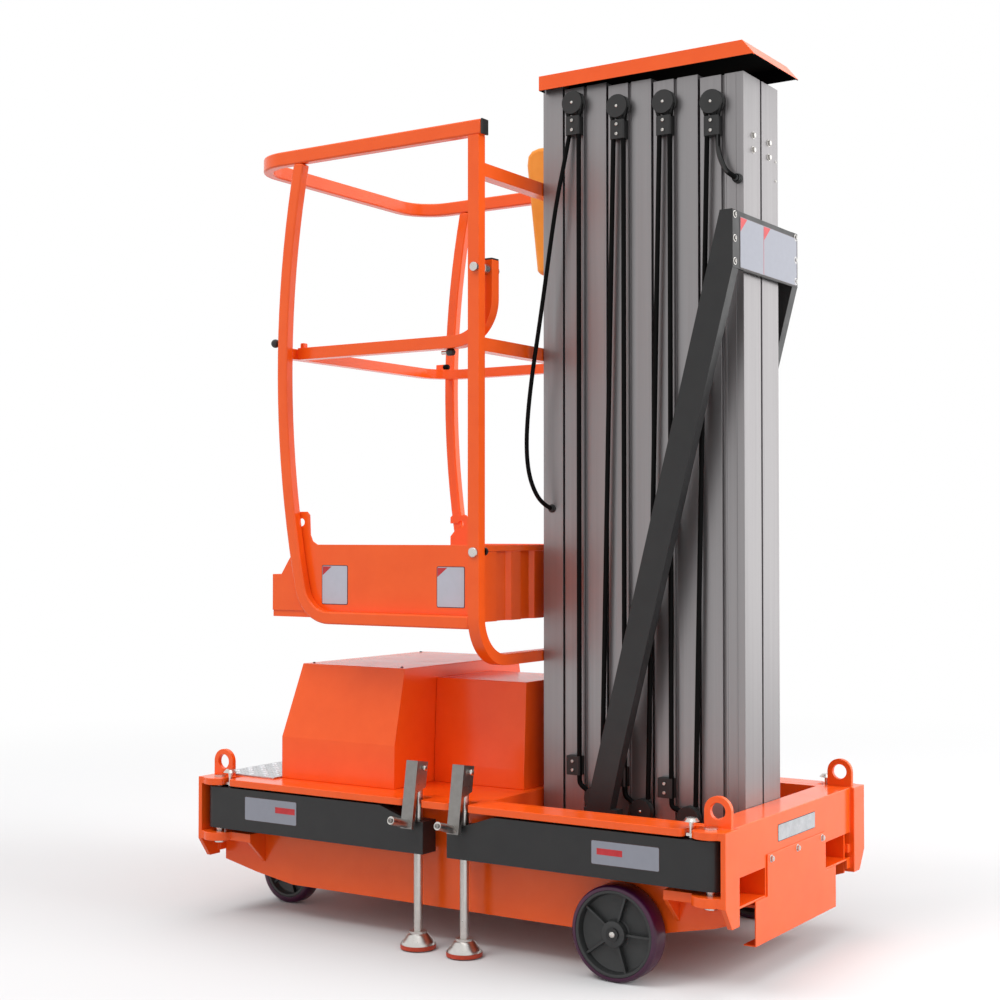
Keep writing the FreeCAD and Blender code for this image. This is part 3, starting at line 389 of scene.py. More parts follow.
# %% [markdown]
# The mast's aluminium
#
# The sections are aluminium pressed hot through a die, and anodising keeps the die's faint lines. They run
# the whole length, so the noise that makes them is stretched a hundredfold along Z. Their real spacing is
# finer than a pixel, so they are drawn 1.6 mm apart. The clear oxide skin makes the metal satin and a little
# grey: the eye gets soft upright streaks and no sharp mirror.

# %% Mix the anodised aluminium
DIE_LINES = (1, 1, 0.01)
anodised, tree, shader = new_finish("anodised_extrusion", "#949192", 0.36, metallic=0.8)
mottle(tree, shader, "#979495", "#918e8f", 9, stretch=DIE_LINES)
grain(tree, shader, 1.6, 0.006, stretch=DIE_LINES, strength=0.2)
uneven_gloss(tree, shader, 0.33, 0.4, 6, stretch=DIE_LINES)
print("mast", anodised.name)

# %% [markdown]
# Plated and stainless steel
#
# Screws, pins and forks are steel with a thin skin of zinc, laid on in a bath. Fresh zinc is a bright grey
# with a soft mirror. The wide sides of the cranks get a darker, duller zinc, so they show as plain mid grey.
# The jack shafts are stainless steel, turned and brushed on a lathe: the grain is squeezed along Z, so that
# its lines run round the shaft and break the long highlight a little. Clean steel has no pattern, so noise is
# enough.

# %% Mix the steels
zinc_dull, tree, shader = new_finish("zinc_plate_dull", "#8a8784", 0.36, metallic=0.85)
mottle(tree, shader, "#8e8b88", "#85827f", 16)
uneven_gloss(tree, shader, 0.32, 0.4, 10)

zinc_plate, tree, shader = new_finish("zinc_plate", "#cfccc8", 0.26, metallic=1.0)
mottle(tree, shader, "#d3d0cc", "#cbc8c3", 12)
uneven_gloss(tree, shader, 0.22, 0.32, 8)

BRUSHED_ROUND = (1, 1, 12)
stainless, tree, shader = new_finish("brushed_stainless", "#cfccc8", 0.3, metallic=1.0)
mottle(tree, shader, "#d3d0cc", "#c9c6c1", 14)
grain(tree, shader, 1.2, 0.001, stretch=BRUSHED_ROUND, strength=0.1)
uneven_gloss(tree, shader, 0.27, 0.33, 6)
print("steels", zinc_dull.name, zinc_plate.name, stainless.name)

# %% [markdown]
# Moulded nylon
#
# Guide blocks, plugs, knobs and wheel hubs are nylon, filled with glass or soot and moulded in a tool whose
# walls are spark-eroded. That leaves a grain of about half a millimetre, drawn here at 1.4 mm so that it
# shows. It scatters a highlight into a dull sheen. The hubs are a shade lighter than the guide blocks.

# %% Mix the nylons
nylon_black, tree, shader = new_finish("moulded_nylon_black", "#1d1d1d", 0.5, ior=1.53)
mottle(tree, shader, "#202020", "#1a1a1a", 25)
grain(tree, shader, 1.4, 0.04, strength=0.4)

nylon_grey, tree, shader = new_finish("moulded_nylon_grey", "#2a2b2b", 0.5, ior=1.53)
mottle(tree, shader, "#2d2e2e", "#272828", 25)
grain(tree, shader, 1.4, 0.05, strength=0.4)
print("nylons", nylon_black.name, nylon_grey.name)

# %% [markdown]
# Cast polyurethane
#
# The tyres and the rings under the jacks' feet are polyurethane, poured as a liquid and cured in a mould.
# The tyres are dark wine with a smooth skin, which looks wet and deep, so a thin clear coat lies over it.
# The foot rings are a brick red and rubbed dull by the floor.

# %% Mix the polyurethanes
urethane_wine, tree, shader = new_finish("cast_polyurethane_wine", "#3f0d33", 0.34, coat=0.1)
mottle(tree, shader, "#430f36", "#3b0b2f", 30)
uneven_gloss(tree, shader, 0.3, 0.38, 25)

urethane_red, tree, shader = new_finish("cast_polyurethane_red", "#c8452a", 0.5)
mottle(tree, shader, "#cf4c30", "#bd3e24", 20)
grain(tree, shader, 1.8, 0.05, strength=0.4)
print("polyurethanes", urethane_wine.name, urethane_red.name)

# %% [markdown]
# Rubber sheathing
#
# The cables and the cord are sheathed in extruded rubber. Soot makes it as black as a thing gets, and a
# faint bloom on its skin hides nearly all mirroring. A low IOR stands for that bloom: the eye gets a black
# line with hardly any edge light.

# %% Mix the rubber
rubber_black, tree, shader = new_finish("cable_rubber", "#030303", 0.65, ior=1.2)
mottle(tree, shader, "#060606", "#020202", 30)
grain(tree, shader, 1.5, 0.03, strength=0.3)
print("rubber", rubber_black.name)

# %% [markdown]
# Moulded ABS
#
# The control box and the stop button are ABS, a hard plastic that is moulded in its own colour. It is
# glossier than nylon and has a fine leather grain, drawn at 1.5 mm. The eye gets a clear, even colour with
# a tight highlight on each rounded edge.

# %% Mix the ABS colours
abs_yellow, tree, shader = new_finish("moulded_abs_yellow", "#f29420", 0.34, ior=1.54)
mottle(tree, shader, "#f5982a", "#ed8d18", 60)
grain(tree, shader, 1.5, 0.04, strength=0.3)

abs_red, tree, shader = new_finish("moulded_abs_red", "#b3161a", 0.3, ior=1.54)
mottle(tree, shader, "#b8191d", "#ac1317", 20)
grain(tree, shader, 1.5, 0.03, strength=0.3)
print("ABS", abs_yellow.name, abs_red.name)

# %% [markdown]
# Printed vinyl
#
# The labels are soft PVC film, printed and laminated. The film is flat and satin, so a label shows as an even
# patch that is a little glossier than the paint round it. All the labels are one film, drawn in two shades: a
# paler copy on the basket, which is painted light, and a darker copy on the arms and the mast, which is
# painted shade. Both have a dark rim and a red mark.

# %% Mix the vinyls
# One label film in two shades: this paler copy is painted light, and the silver one below is painted shade.
vinyl_painted_light, tree, shader = new_finish("printed_vinyl_painted_light", "#bcbec9", 0.42)
mottle(tree, shader, "#bebfca", "#babcc6", 15)
vinyl_painted_shade, tree, shader = new_finish("printed_vinyl_painted_shade", "#8f919b", 0.42)
mottle(tree, shader, "#90929c", "#8d8f99", 15)
vinyl_red, tree, shader = new_finish("printed_vinyl_red", "#c2272d", 0.38)
mottle(tree, shader, "#c72c32", "#b92228", 15)
vinyl_dark, tree, shader = new_finish("printed_vinyl_dark", "#3a2a2a", 0.38)
mottle(tree, shader, "#403030", "#332424", 15)
print("vinyls", vinyl_painted_light.name, vinyl_painted_shade.name, vinyl_red.name, vinyl_dark.name)

# %% [markdown]
# Bare tread plate, and painted shade on the hidden steel and inside the cap
#
# The step is aluminium tread plate as it comes from the rolls, without a skin: brighter than the mast, and
# scuffed to an uneven gloss. The battery and pump inside the covers only show as a dark gap, so they get a
# matt, nearly black steel, which is painted shade for that gap. The inside of the cover over the mast is
# painted nearly black as well, as painted shade for the dark under the cap: it is as rough as can be, with a
# low IOR.

# %% Mix the last three
tread_plate, tree, shader = new_finish("tread_plate_aluminium", "#c6c8cb", 0.32, metallic=0.9)
mottle(tree, shader, "#cdcfd2", "#b9bbbe", 18)
uneven_gloss(tree, shader, 0.26, 0.4, 12)

# Painted shade: the power pack's near-black colour stands for the dark gap it is seen through.
gap_painted_shade, tree, shader = new_finish("shadowed_steel", "#171412", 0.8)
mottle(tree, shader, "#1b1816", "#13110f", 50)

# Painted shade: the cap's inside is coloured near black to stand for the dark under it.
cap_painted_shade, tree, shader = new_finish("cap_inside_painted_shade", "#0c0b0b", 0.9, ior=1.1)
mottle(tree, shader, "#0f0e0e", "#090808", 12)
print("others", tread_plate.name, gap_painted_shade.name, cap_painted_shade.name)

# %% [markdown]
# Rounded edges on every solid
#
# No real edge is perfectly sharp: tube is rolled with a corner radius, plate is deburred, sheet is bent
# round a die. A fine bevel catches a line of light that the eye reads as thickness. Modelling each one by
# hand would repeat the frame, so each solid is copied, its flat facets are merged, and a bevel of the
# real radius is put on what stays sharp. The copy stands in for the solid that it came from.

# %% Write the rounding tool
def ride_with(piece, node):
    """Let a piece move with the body that carries a node of the frame."""
    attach(piece, body_of(frame["nodes"][node])[0])


pieces = {}
SAME_POINT_MM = 0.01
SAME_PLANE_DEG = 0.6
SHARP_DEG = 38


def rounded(node, finish, radius_mm, segments=2):
    """A copy of a solid with bevelled edges, standing for it."""
    form = bmesh.new()
    form.from_mesh(frame["nodes"][node].data)
    bmesh.ops.remove_doubles(form, verts=form.verts, dist=SAME_POINT_MM * MM)
    bmesh.ops.dissolve_limit(
        form, angle_limit=math.radians(SAME_PLANE_DEG), verts=form.verts, edges=form.edges)
    mesh = bpy.data.meshes.new(node + "_rounded")
    form.to_mesh(mesh)
    form.free()
    mesh.materials.clear()
    mesh.materials.append(finish)
    mesh.polygons.foreach_set("material_index", [0] * len(mesh.polygons))
    mesh.shade_smooth()
    mesh.set_sharp_from_angle(angle=math.radians(SHARP_DEG))
    piece = bpy.data.objects.new(node + "_rounded", mesh)
    bpy.context.collection.objects.link(piece)
    edge = piece.modifiers.new("rounded edge", "BEVEL")
    edge.width = radius_mm * MM
    edge.segments = segments
    edge.limit_method = "ANGLE"
    edge.angle_limit = math.radians(SHARP_DEG)
    edge.harden_normals = True
    flat = piece.modifiers.new("flat faces", "WEIGHTED_NORMAL")
    flat.weight = 100
    flat.keep_sharp = True
    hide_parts(node)
    ride_with(piece, node)
    pieces[node] = piece


# %% Round the painted frame and basket
ORANGE_RADII = {
    "side_frame_near": 1.6, "side_frame_far": 1.6, "skirt_near": 1.2, "skirt_far": 1.2, "end_channel": 1.2,
    "end_cover": 0.8, "battery_cover": 1.4, "drive_cover": 1.4, "mast_cap": 0.9, "basket_hoop": 3.5,
    "top_rail": 3.5, "front_bows": 3.5, "mid_rail": 3.0, "swing_gate": 3.0, "toe_boards": 0.9,
}
for node, radius in ORANGE_RADII.items():
    rounded(node, powder_orange, radius)
print(len(ORANGE_RADII), "painted pieces")

# %% Round the dark steel, the mast and the running gear
corners = [end + "_" + side for end in ("front", "rear") for side in ("near", "far")]
for corner in corners:
    rounded("outrigger_" + corner, powder_graphite, 4.0, segments=3)
    rounded("jack_" + corner, stainless, 0.8)
rounded("mast_braces", powder_graphite, 2.0)
for number in range(1, 6):
    rounded("mast_section_%d" % number, anodised, 0.7)
for number in range(1, 5):
    rounded("pulley_block_%d" % number, nylon_black, 0.8)
for side in ("near", "far"):
    rounded("caster_fork_" + side, zinc_plate, 0.8)
rounded("control_box", abs_yellow, 12.0, segments=4)
rounded("step_plate", tread_plate, 0.8)
rounded("corner_pins", zinc_plate, 0.8)
rounded("gate_bolt", zinc_plate, 0.8)
print(len(pieces), "rounded pieces in all")

# %% Finish the solids that stay as they are
# The power pack takes the near-black painted shade of its gap.
PLAIN = {
    "chassis_decks": powder_orange, "belly_tray": powder_orange, "power_pack": gap_painted_shade,
    "basket_carriage": anodised, "basket_floor": powder_orange, "rear_axles": powder_graphite,
}
for node, finish in PLAIN.items():
    for holder in frame["nodes"][node].material_slots:
        holder.link = "OBJECT"
        holder.material = finish
    print(node, finish.name)

# %% [markdown]
# The lifting cables
#
# Each cable runs from the bottom pulley of one mast section to the guide block of the next, and gets shorter
# as the stages rise. A tube would poke out of the mast in a raised pose. Each cable here is a copy of its
# solid in black rubber that rides with the body of that solid.

# %% Run the cables
for number, joint in ((1, "mast_lift_2"), (2, "mast_lift_3"), (3, "mast_lift_4")):
    node = "lift_cable_%d" % number
    low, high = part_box(node)
    source = frame["nodes"][node]
    cable = bpy.data.objects.new("%s_rubber" % node, source.data.copy())
    bpy.context.collection.objects.link(cable)
    cable.data.materials.clear()
    cable.data.materials.append(rubber_black)
    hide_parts(node)
    ride_with(cable, node)
    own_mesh(cable)
control_cord.data.materials.append(rubber_black)

# %% [markdown]
# Painting part of a solid
#
# Some solids hold more than one material: a guide block grips its cable, a jack's foot has a moulded ring.
# On the real lift these are pressed together for good, so one piece is right. Each face gets the finish
# that its place calls for, found by a test on the face. The numbers in the tests are places in metres.

# %% Write the painting tool
def paint_where(piece, finish, test):
    """Give finish to the faces of a piece that pass the test."""
    piece.data.materials.append(finish)
    number = len(piece.data.materials) - 1
    painted = 0
    for face in piece.data.polygons:
        if test(face):
            face.material_index = number
            painted += 1
    print(piece.name, finish.name, painted, "faces")


# %% Paint the cables in the pulley blocks
CABLE_PLANE = -0.1074
CABLE_REACH = 0.0062
PULLEY_REACH = 0.0274
BLOCK_HALF = 0.0182
PULLEYS = {1: (0.198, 1.918, 0.4, 0.33), 2: (0.3148, 1.893, 0.384, 0.312), 3: (0.4316, 1.886, 0.368, 0.306),
           4: (0.5484, 1.869, None, None)}
BLOCK_SPAN = (-0.0741, -0.0309)
CLAMP_SPAN = (-0.0216, 0.0216)
LOW_PULLEY_SHIFT = 0.057


def on_cable(place, number):
    """Whether a place lies on the cable of a pulley block, outside its pulleys and blocks."""
    x, top_z, clamp_z, low_z = PULLEYS[number]
    if abs(place.y - CABLE_PLANE) > CABLE_REACH:
        return False
    if math.hypot(place.x - x, place.z - top_z) < PULLEY_REACH:
        return False
    if BLOCK_SPAN[0] < place.z - top_z < BLOCK_SPAN[1]:
        return False
    if clamp_z is None:
        return True
    if CLAMP_SPAN[0] < place.z - clamp_z < CLAMP_SPAN[1] and abs(place.x - x) < BLOCK_HALF:
        return False
    return math.hypot(place.x - x - LOW_PULLEY_SHIFT, place.z - low_z) > PULLEY_REACH


for number in PULLEYS:
    paint_where(pieces["pulley_block_%d" % number], rubber_black, lambda face: on_cable(face.center, number))

# %% Paint the feet and cranks of the jacks, and the cap's underside
FOOT_RING_TOP = 0.0118
CRANK_BOTTOM = 0.205
HANDLE_START = 0.4
SIDEWAYS = 0.9


def on_crank_side(face):
    """Whether a face is one of the wide sides of a crank, which are duller than its rim and handle."""
    crank = face.center.z > CRANK_BOTTOM and abs(face.center.y) < HANDLE_START
    return crank and abs(face.normal.y) > SIDEWAYS


for corner in corners:
    jack = pieces["jack_" + corner]
    paint_where(jack, urethane_red, lambda face: face.center.z < FOOT_RING_TOP)
    paint_where(jack, zinc_dull, on_crank_side)

DOWNWARD = -0.3
UPRIGHT = 0.1
INWARD = 0.01
cap_low, cap_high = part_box("mast_cap")
cap_middle = (Vector(cap_low) + Vector(cap_high)) / 2


def inside_cap(face):
    """Whether a face of the cap looks down or in at the mast."""
    inward = (cap_middle - face.center) * Vector((1, 1, 0))
    return face.normal.z < DOWNWARD or (face.normal.z < UPRIGHT and face.normal.dot(inward) > INWARD)


# The cap's inside faces take the near-black painted shade.
paint_where(pieces["mast_cap"], cap_painted_shade, inside_cap)

# %% [markdown]
# Screws, plugs and knobs
#
# Every fastener here is round or six-sided, so one tool turns a profile about an axis, as a lathe would.
# A profile lists radius and height in millimetres. With six sides it gives the head of a hexagon bolt.
# Fasteners of one kind on one body are one mesh, which keeps the scene light.

# %% Write the turning tool
def turned(form, profile, centre, axis, sides=20):
    """Add a form turned about an axis through centre to a mesh that is being built."""
    turn = Vector(axis).to_track_quat("Z", "Y").to_matrix()
    rings = []
    for radius, height in profile:
        count = sides if radius else 1
        rings.append([
            form.verts.new(Vector(centre) + MM * (turn @ Vector((
                radius * math.cos(math.tau * i / sides), radius * math.sin(math.tau * i / sides), height))))
            for i in range(count)])
    for low, high in zip(rings, rings[1:]):
        for i in range(sides):
            j = i + 1
            corners_of_face = [low[i % len(low)], low[j % len(low)], high[j % len(high)], high[i % len(high)]]
            face = list(dict.fromkeys(corners_of_face))
            if len(face) > 2:
                form.faces.new(face)


SMOOTH_DEG = 40


def finished_piece(name, form, finish, node):
    """Turn a built form into a piece in one finish that rides with a node."""
    bmesh.ops.recalc_face_normals(form, faces=form.faces)
    mesh = bpy.data.meshes.new(name)
    form.to_mesh(mesh)
    form.free()
    mesh.materials.append(finish)
    mesh.shade_smooth()
    mesh.set_sharp_from_angle(angle=math.radians(SMOOTH_DEG))
    piece = bpy.data.objects.new(name, mesh)
    bpy.context.collection.objects.link(piece)
    ride_with(piece, node)
    return piece


def fasteners(name, profile, places, axis, finish, node, sides=20):
    """One mesh of like fasteners at several places."""
    form = bmesh.new()
    for centre in places:
        turned(form, profile, centre, axis, sides)
    print(name, len(places))
    return finished_piece(name, form, finish, node)


# %% Set the screws of the mast and its guide blocks
SOCKET_SCREW = [(0, 1.2), (1.6, 1.2), (1.8, 3.2), (3.0, 3.2), (3.6, 2.6), (3.6, -0.5)]
PAN_SCREW = [(0, 2.4), (1.8, 2.2), (3.0, 1.4), (3.6, 0.4), (3.7, -0.5)]
NEAR = (0, -1, 0)
PULLEY_FACE = -0.1164
BLOCK_FACE = -0.1144
BLOCK_SCREWS = (-0.0415, -0.0635)
CLAMP_SCREWS = (0.010, -0.010)
for number, (x, top_z, clamp_z, low_z) in PULLEYS.items():
    centres = [(x, PULLEY_FACE, top_z)]
    pairs = [(x, BLOCK_FACE, top_z + shift) for shift in BLOCK_SCREWS]
    if clamp_z is not None:
        centres.append((x + LOW_PULLEY_SHIFT, PULLEY_FACE, low_z))
        pairs += [(x, BLOCK_FACE, clamp_z + shift) for shift in CLAMP_SCREWS]
    node = "pulley_block_%d" % number
    fasteners("pulley_screws_%d" % number, PAN_SCREW, centres, NEAR, zinc_plate, node)
    fasteners("block_screws_%d" % number, SOCKET_SCREW, pairs, NEAR, zinc_plate, node)

# %% Fit the cable glands
GLAND = [(0, 13), (6.2, 13), (6.8, 11.5), (6.8, 6), (10.2, 5.4), (10.6, 4.6), (10.6, 0.6), (11.2, 0),
         (11.2, -0.5)]
fasteners("upper_gland", GLAND, [(0.603, -0.0924, 1.697)], NEAR, nylon_grey,
          "pulley_block_4")
LOW_GLAND = [(0, 8), (6.0, 8), (6.6, 7), (6.6, 3.5), (9.4, 3), (9.8, 2.2), (9.8, 0)]
fasteners("cord_gland", LOW_GLAND, [(0.131, -0.0924, 0.986)], NEAR, nylon_black,
          "mast_section_1")

# %% Bolt the back of the mast and the tie plate
HEX_HEAD = [(0, 5.4), (5.2, 5.4), (6.2, 4.6), (6.2, 0.8)]
WASHER = [(6.4, 1.2), (7.8, 1.1), (8.2, 0.6), (8.2, -0.4)]
RIGHT = (1, 0, 0)
mast_bolts = [(0.616, y, z) for y in (-0.042, 0.042) for z in (1.800, 1.768)]
tie_bolts = [(0.628, y, z) for y in (-0.164, 0.164) for z in (1.505, 1.554, 1.605)]
fasteners("mast_back_bolt_heads", HEX_HEAD, mast_bolts, RIGHT, zinc_plate, "mast_section_5", sides=6)
fasteners("mast_back_bolt_washers", WASHER, mast_bolts, RIGHT, zinc_plate, "mast_section_5")
fasteners("mast_back_screws", PAN_SCREW, [(0.616, 0.080, 1.7645), (0.616, 0.080, 1.7214)], RIGHT, zinc_plate,
          "mast_section_5")
fasteners("tie_plate_bolts", SOCKET_SCREW, tie_bolts, RIGHT, zinc_plate, "mast_braces")
fasteners("tie_plate_washers", WASHER, tie_bolts, RIGHT, zinc_plate, "mast_braces")

# %% Bolt the base
end_bolts = [(0.696, y, 0.247) for y in (-0.14, 0, 0.14)]
fasteners("end_cover_bolt_heads", HEX_HEAD, end_bolts, RIGHT, zinc_plate, "end_cover", sides=6)
fasteners("end_cover_washers", WASHER, end_bolts, RIGHT, zinc_plate, "end_cover")
UP = (0, 0, 1)
lid_screws = [(x, y, 0.612) for x in (-0.472, -0.205) for y in (-0.222, 0.222)]
fasteners("lid_screws", PAN_SCREW, lid_screws, UP, nylon_black, "battery_cover")
AXLE_END = [(0, 4.5), (4.6, 4.3), (6.2, 3.0), (6.8, 1.2), (7.4, 0.8), (7.6, 0)]
for side, sign in (("near", -1), ("far", 1)):
    fasteners("axle_end_" + side, AXLE_END, [(0.439, sign * 0.363, 0.1)], (0, sign, 0), zinc_plate,
              "rear_axles")

# %% [markdown]
# Pins of the folding cranks
#
# Each jack is wound down by a crank that folds against its shaft. The crank turns on a rivet through the
# shaft's head, and its handle on a shouldered screw. Both are low domes, so the lathe makes them too. The
# rivet's head shows on the right side of each crank, and the screw's on the outside.

# %% Pin the cranks
PIN_HEAD = [(0, 3.6), (4.2, 3.2), (6.4, 2.0), (7.0, 0.6), (7.0, -0.5)]
HANDLE_SCREW = [(0, 0.6), (1.8, 0.6), (2.2, 1.8), (4.6, 1.6), (5.2, 0.8), (5.4, -0.5)]
PIN_X = {"front": -0.043, "rear": 0.082}
HANDLE_X = {"front": -0.0625, "rear": 0.0625}
for corner in corners:
    end, side = corner.split("_")
    sign = -1 if side == "near" else 1
    fasteners("crank_pin_" + corner, PIN_HEAD, [(PIN_X[end], sign * 0.352, 0.404)], RIGHT, zinc_plate,
              "jack_" + corner)
    fasteners("crank_screw_" + corner, HANDLE_SCREW, [(HANDLE_X[end], sign * 0.4575, 0.3002)],
              (0, sign, 0), zinc_dull, "jack_" + corner)

# %% [markdown]
# The wheels
#
# A trolley wheel is a moulded nylon hub with a ring of polyurethane cast round it. Both are round about the
# axle, so the same lathe makes them from a profile, and thin blocks set round the boss are its ribs. The
# cast ring has soft shoulders, and a turned profile gives their long highlight.

# %% Write the block tool
def block(form, low, high):
    """Add a box between two corners to a mesh that is being built."""
    corners_of_block = [
        (x, y, z) for x in (low[0], high[0]) for y in (low[1], high[1]) for z in (low[2], high[2])]
    verts = [form.verts.new(place) for place in corners_of_block]
    for face in ((0, 1, 3, 2), (4, 6, 7, 5), (0, 4, 5, 1), (2, 3, 7, 6), (0, 2, 6, 4), (1, 5, 7, 3)):
        form.faces.new([verts[i] for i in face])


def softened(piece, radius_mm, segments=2):
    """Round the edges of a small piece."""
    edge = piece.modifiers.new("rounded edge", "BEVEL")
    edge.width = radius_mm * MM
    edge.segments = segments
    edge.limit_method = "ANGLE"
    edge.harden_normals = True


# %% Turn the wheels
RIBS = 5
RIB_HALF_MM = 2.4
SEAM_MM = 0.001
WHEEL_SIDES = 96


def cast_ring(outer, inner, half):
    """Profile of a tyre ring in millimetres, as a closed line of (radius, height)."""
    rise = outer - inner
    side = [(inner, half - 0.5), (inner + 0.45 * rise, half), (outer - 0.32 * rise, half - 1.4),
            (outer - 0.10 * rise, half - 4.2), (outer, half - 8.5)]
    mirrored = [(radius, -height) for radius, height in reversed(side)]
    return side + mirrored + [side[0]]


def moulded_hub(outer, half, boss, bore):
    """Profile of a hub in millimetres, as a closed line of (radius, height)."""
    lip = outer - 7.5
    side = [(bore, half), (boss - 2, half), (boss - 0.6, half - 0.6), (boss, half - 2), (boss + 1, 9),
            (boss + 3, 7), (lip - 6, 6), (lip - 3, 8), (lip, half - 3), (lip + 0.8, half - 1.6),
            (lip + 2, half - 1), (outer - 1, half - 1), (outer - 0.2, half - 1.8)]
    mirrored = [(radius, -height) for radius, height in reversed(side)]
    return side + mirrored + [side[0]]


def ribs(form, centre, hub, half, boss):
    """Add the ribs between the boss and the rim of a hub to a mesh that is being built."""
    for number in range(RIBS):
        rib = bmesh.new()
        block(rib, ((boss - 2) * MM, -(half - 7) * MM, -RIB_HALF_MM * MM),
              ((hub - 6) * MM, (half - 7) * MM, RIB_HALF_MM * MM))
        rib.transform(Matrix.Translation(centre) @ Matrix.Rotation(math.tau * number / RIBS, 4, "Y"))
        mesh = bpy.data.meshes.new("rib")
        rib.to_mesh(mesh)
        rib.free()
        form.from_mesh(mesh)
        bpy.data.meshes.remove(mesh)


def wheel(place, centre, outer, hub, half, boss, bore):
    """Tyre ring and ribbed hub of one wheel in millimetres, standing for its two solids."""
    for part, finish, profile, slot in (
            ("tread", urethane_wine, cast_ring(outer, hub, half), "tread_urethane"),
            ("hub", nylon_grey, moulded_hub(hub, half, boss, bore), "hub_nylon")):
        node = "%s_%s_%s" % (place[0], part, place[1])
        form = bmesh.new()
        turned(form, profile, centre, NEAR, sides=WHEEL_SIDES)
        if part == "hub":
            ribs(form, centre, hub, half, boss)
        bmesh.ops.remove_doubles(form, verts=form.verts, dist=SEAM_MM * MM)
        piece = finished_piece(node + "_turned", form, finish, node)
        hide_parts(node)
    print("wheel", *place, "radius", outer, "mm")


for side, sign in (("near", -1), ("far", 1)):
    wheel(("rear", side), Vector((0.439, sign * 0.336, 0.1)), outer=100, hub=90, half=25, boss=27, bore=10)
    wheel(("caster", side), Vector((-0.605, sign * 0.147, 0.08)), outer=80, hub=65, half=21, boss=20, bore=8)

# %% [markdown]
# Cheeks behind the corner strips
#
# At the end with the fork pockets a thin plate closes the slot between each pocket and its corner strip. It
# is flat sheet steel, 4 mm thick, with the same coat as the frame. A block with a slightly rounded edge is
# all that it takes.

# %% Close the corner slots
cheeks = bmesh.new()
for y0, y1 in ((-0.319, -0.315), (0.315, 0.319)):
    block(cheeks, (0.640, y0, 0.141), (0.6935, y1, 0.232))
softened(finished_piece("corner_cheeks", cheeks, powder_orange, "end_channel"), 0.6)
print("cheeks", 2)

# %% [markdown]
# Ribs of the fixed mast section
#
# The near face of the fixed section has two fine ribs. They come out of the die with the section and run
# its whole height, and each catches a thin line of light. A rib stands 1 mm proud and is 2.5 mm wide, and
# a long block with round edges gives that line as well as a modelled die would.

# %% Add the ribs
FACE_RIBS_X = (0.5735, 0.5965)
RIB_WIDE = 0.0025
RIB_PROUD = 0.001
RIB_INSET = 0.002
low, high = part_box("mast_section_5")
face_ribs = bmesh.new()
for x in FACE_RIBS_X:
    block(face_ribs, (x, low[1] - RIB_PROUD, low[2] + RIB_INSET),
          (x + RIB_WIDE, low[1] + RIB_INSET, high[2] - RIB_INSET))
softened(finished_piece("mast_face_ribs", face_ribs, anodised, "mast_section_5"), 0.4)
print("ribs", len(FACE_RIBS_X), "by", round(high[2] - low[2], 3), "m")

# %% [markdown]
# Plugs in the open tubes
#
# The ends of square tube are closed by moulded plugs with a thin lip. A block with rounded edges is enough,
# because only the lip shows.

# %% Plug the tubes
RAIL_TUBE_WIDE = 0.025
GATE_TUBE_WIDE = 0.028
RAIL_LIP = 0.005
GATE_LIP = 0.004
low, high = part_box("top_rail")
rail_plugs = bmesh.new()
for y0, y1 in ((low[1], low[1] + RAIL_TUBE_WIDE), (high[1] - RAIL_TUBE_WIDE, high[1])):
    block(rail_plugs, (high[0], y0, low[2]), (high[0] + RAIL_LIP, y1, high[2]))
softened(finished_piece("rail_end_plugs", rail_plugs, nylon_black, "top_rail"), 1.2)

low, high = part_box("swing_gate")
gate_plug = bmesh.new()
block(gate_plug, (high[0] - GATE_TUBE_WIDE, low[1], high[2]), (high[0], high[1], high[2] + GATE_LIP))
softened(finished_piece("gate_tube_plug", gate_plug, nylon_black, "swing_gate"), 1.2)
print("plugs", 3)

# %% [markdown]
# Blank labels and the nameplate
#
# The lift carries vinyl stickers and one metal plate on its end. A sticker is a thin sheet with round
# corners. Its field is left blank here, with a dark edge and a plain red corner or stripe. Each of these is
# a flat shape a little higher than the one below, so the three colours keep crisp edges without any
# picture.

# %% Write the flat shape tool
CORNER_STEPS = 5


def rounded_outline(width, height, radius):
    """Corners of a rectangle with round corners in millimetres, about its middle."""
    outline = []
    for quarter, (side_u, side_v) in enumerate(((1, 1), (-1, 1), (-1, -1), (1, -1))):
        for step in range(CORNER_STEPS):
            angle = math.pi / 2 * (quarter + step / (CORNER_STEPS - 1))
            outline.append((side_u * (width / 2 - radius) + radius * math.cos(angle),
                            side_v * (height / 2 - radius) + radius * math.sin(angle)))
    return outline


def flat_shape(form, outline, centre, across, low, high, layer=0):
    """Add a flat shape between two heights, in millimetres, above an upright plane through centre."""
    across = Vector(across)
    up = Vector(UP)
    out = across.cross(up)
    rings = [[form.verts.new(Vector(centre) + MM * (u * across + v * up + height * out)) for u, v in outline]
             for height in (low, high)]
    faces = [form.faces.new(ring) for ring in rings]
    count = len(outline)
    for i in range(count):
        j = (i + 1) % count
        faces.append(form.faces.new([rings[0][i], rings[0][j], rings[1][j], rings[1][i]]))
    for face in faces:
        face.material_index = layer


# %% Stick on the labels
ALONG_X = (1, 0, 0)
ALONG_Y = (0, 1, 0)
EDGE_MM = 1.6
SHEET_MM = (-0.3, 0.5)
FIELD_MM = (0.4, 0.8)
PATCH_MM = (0.7, 1.0)


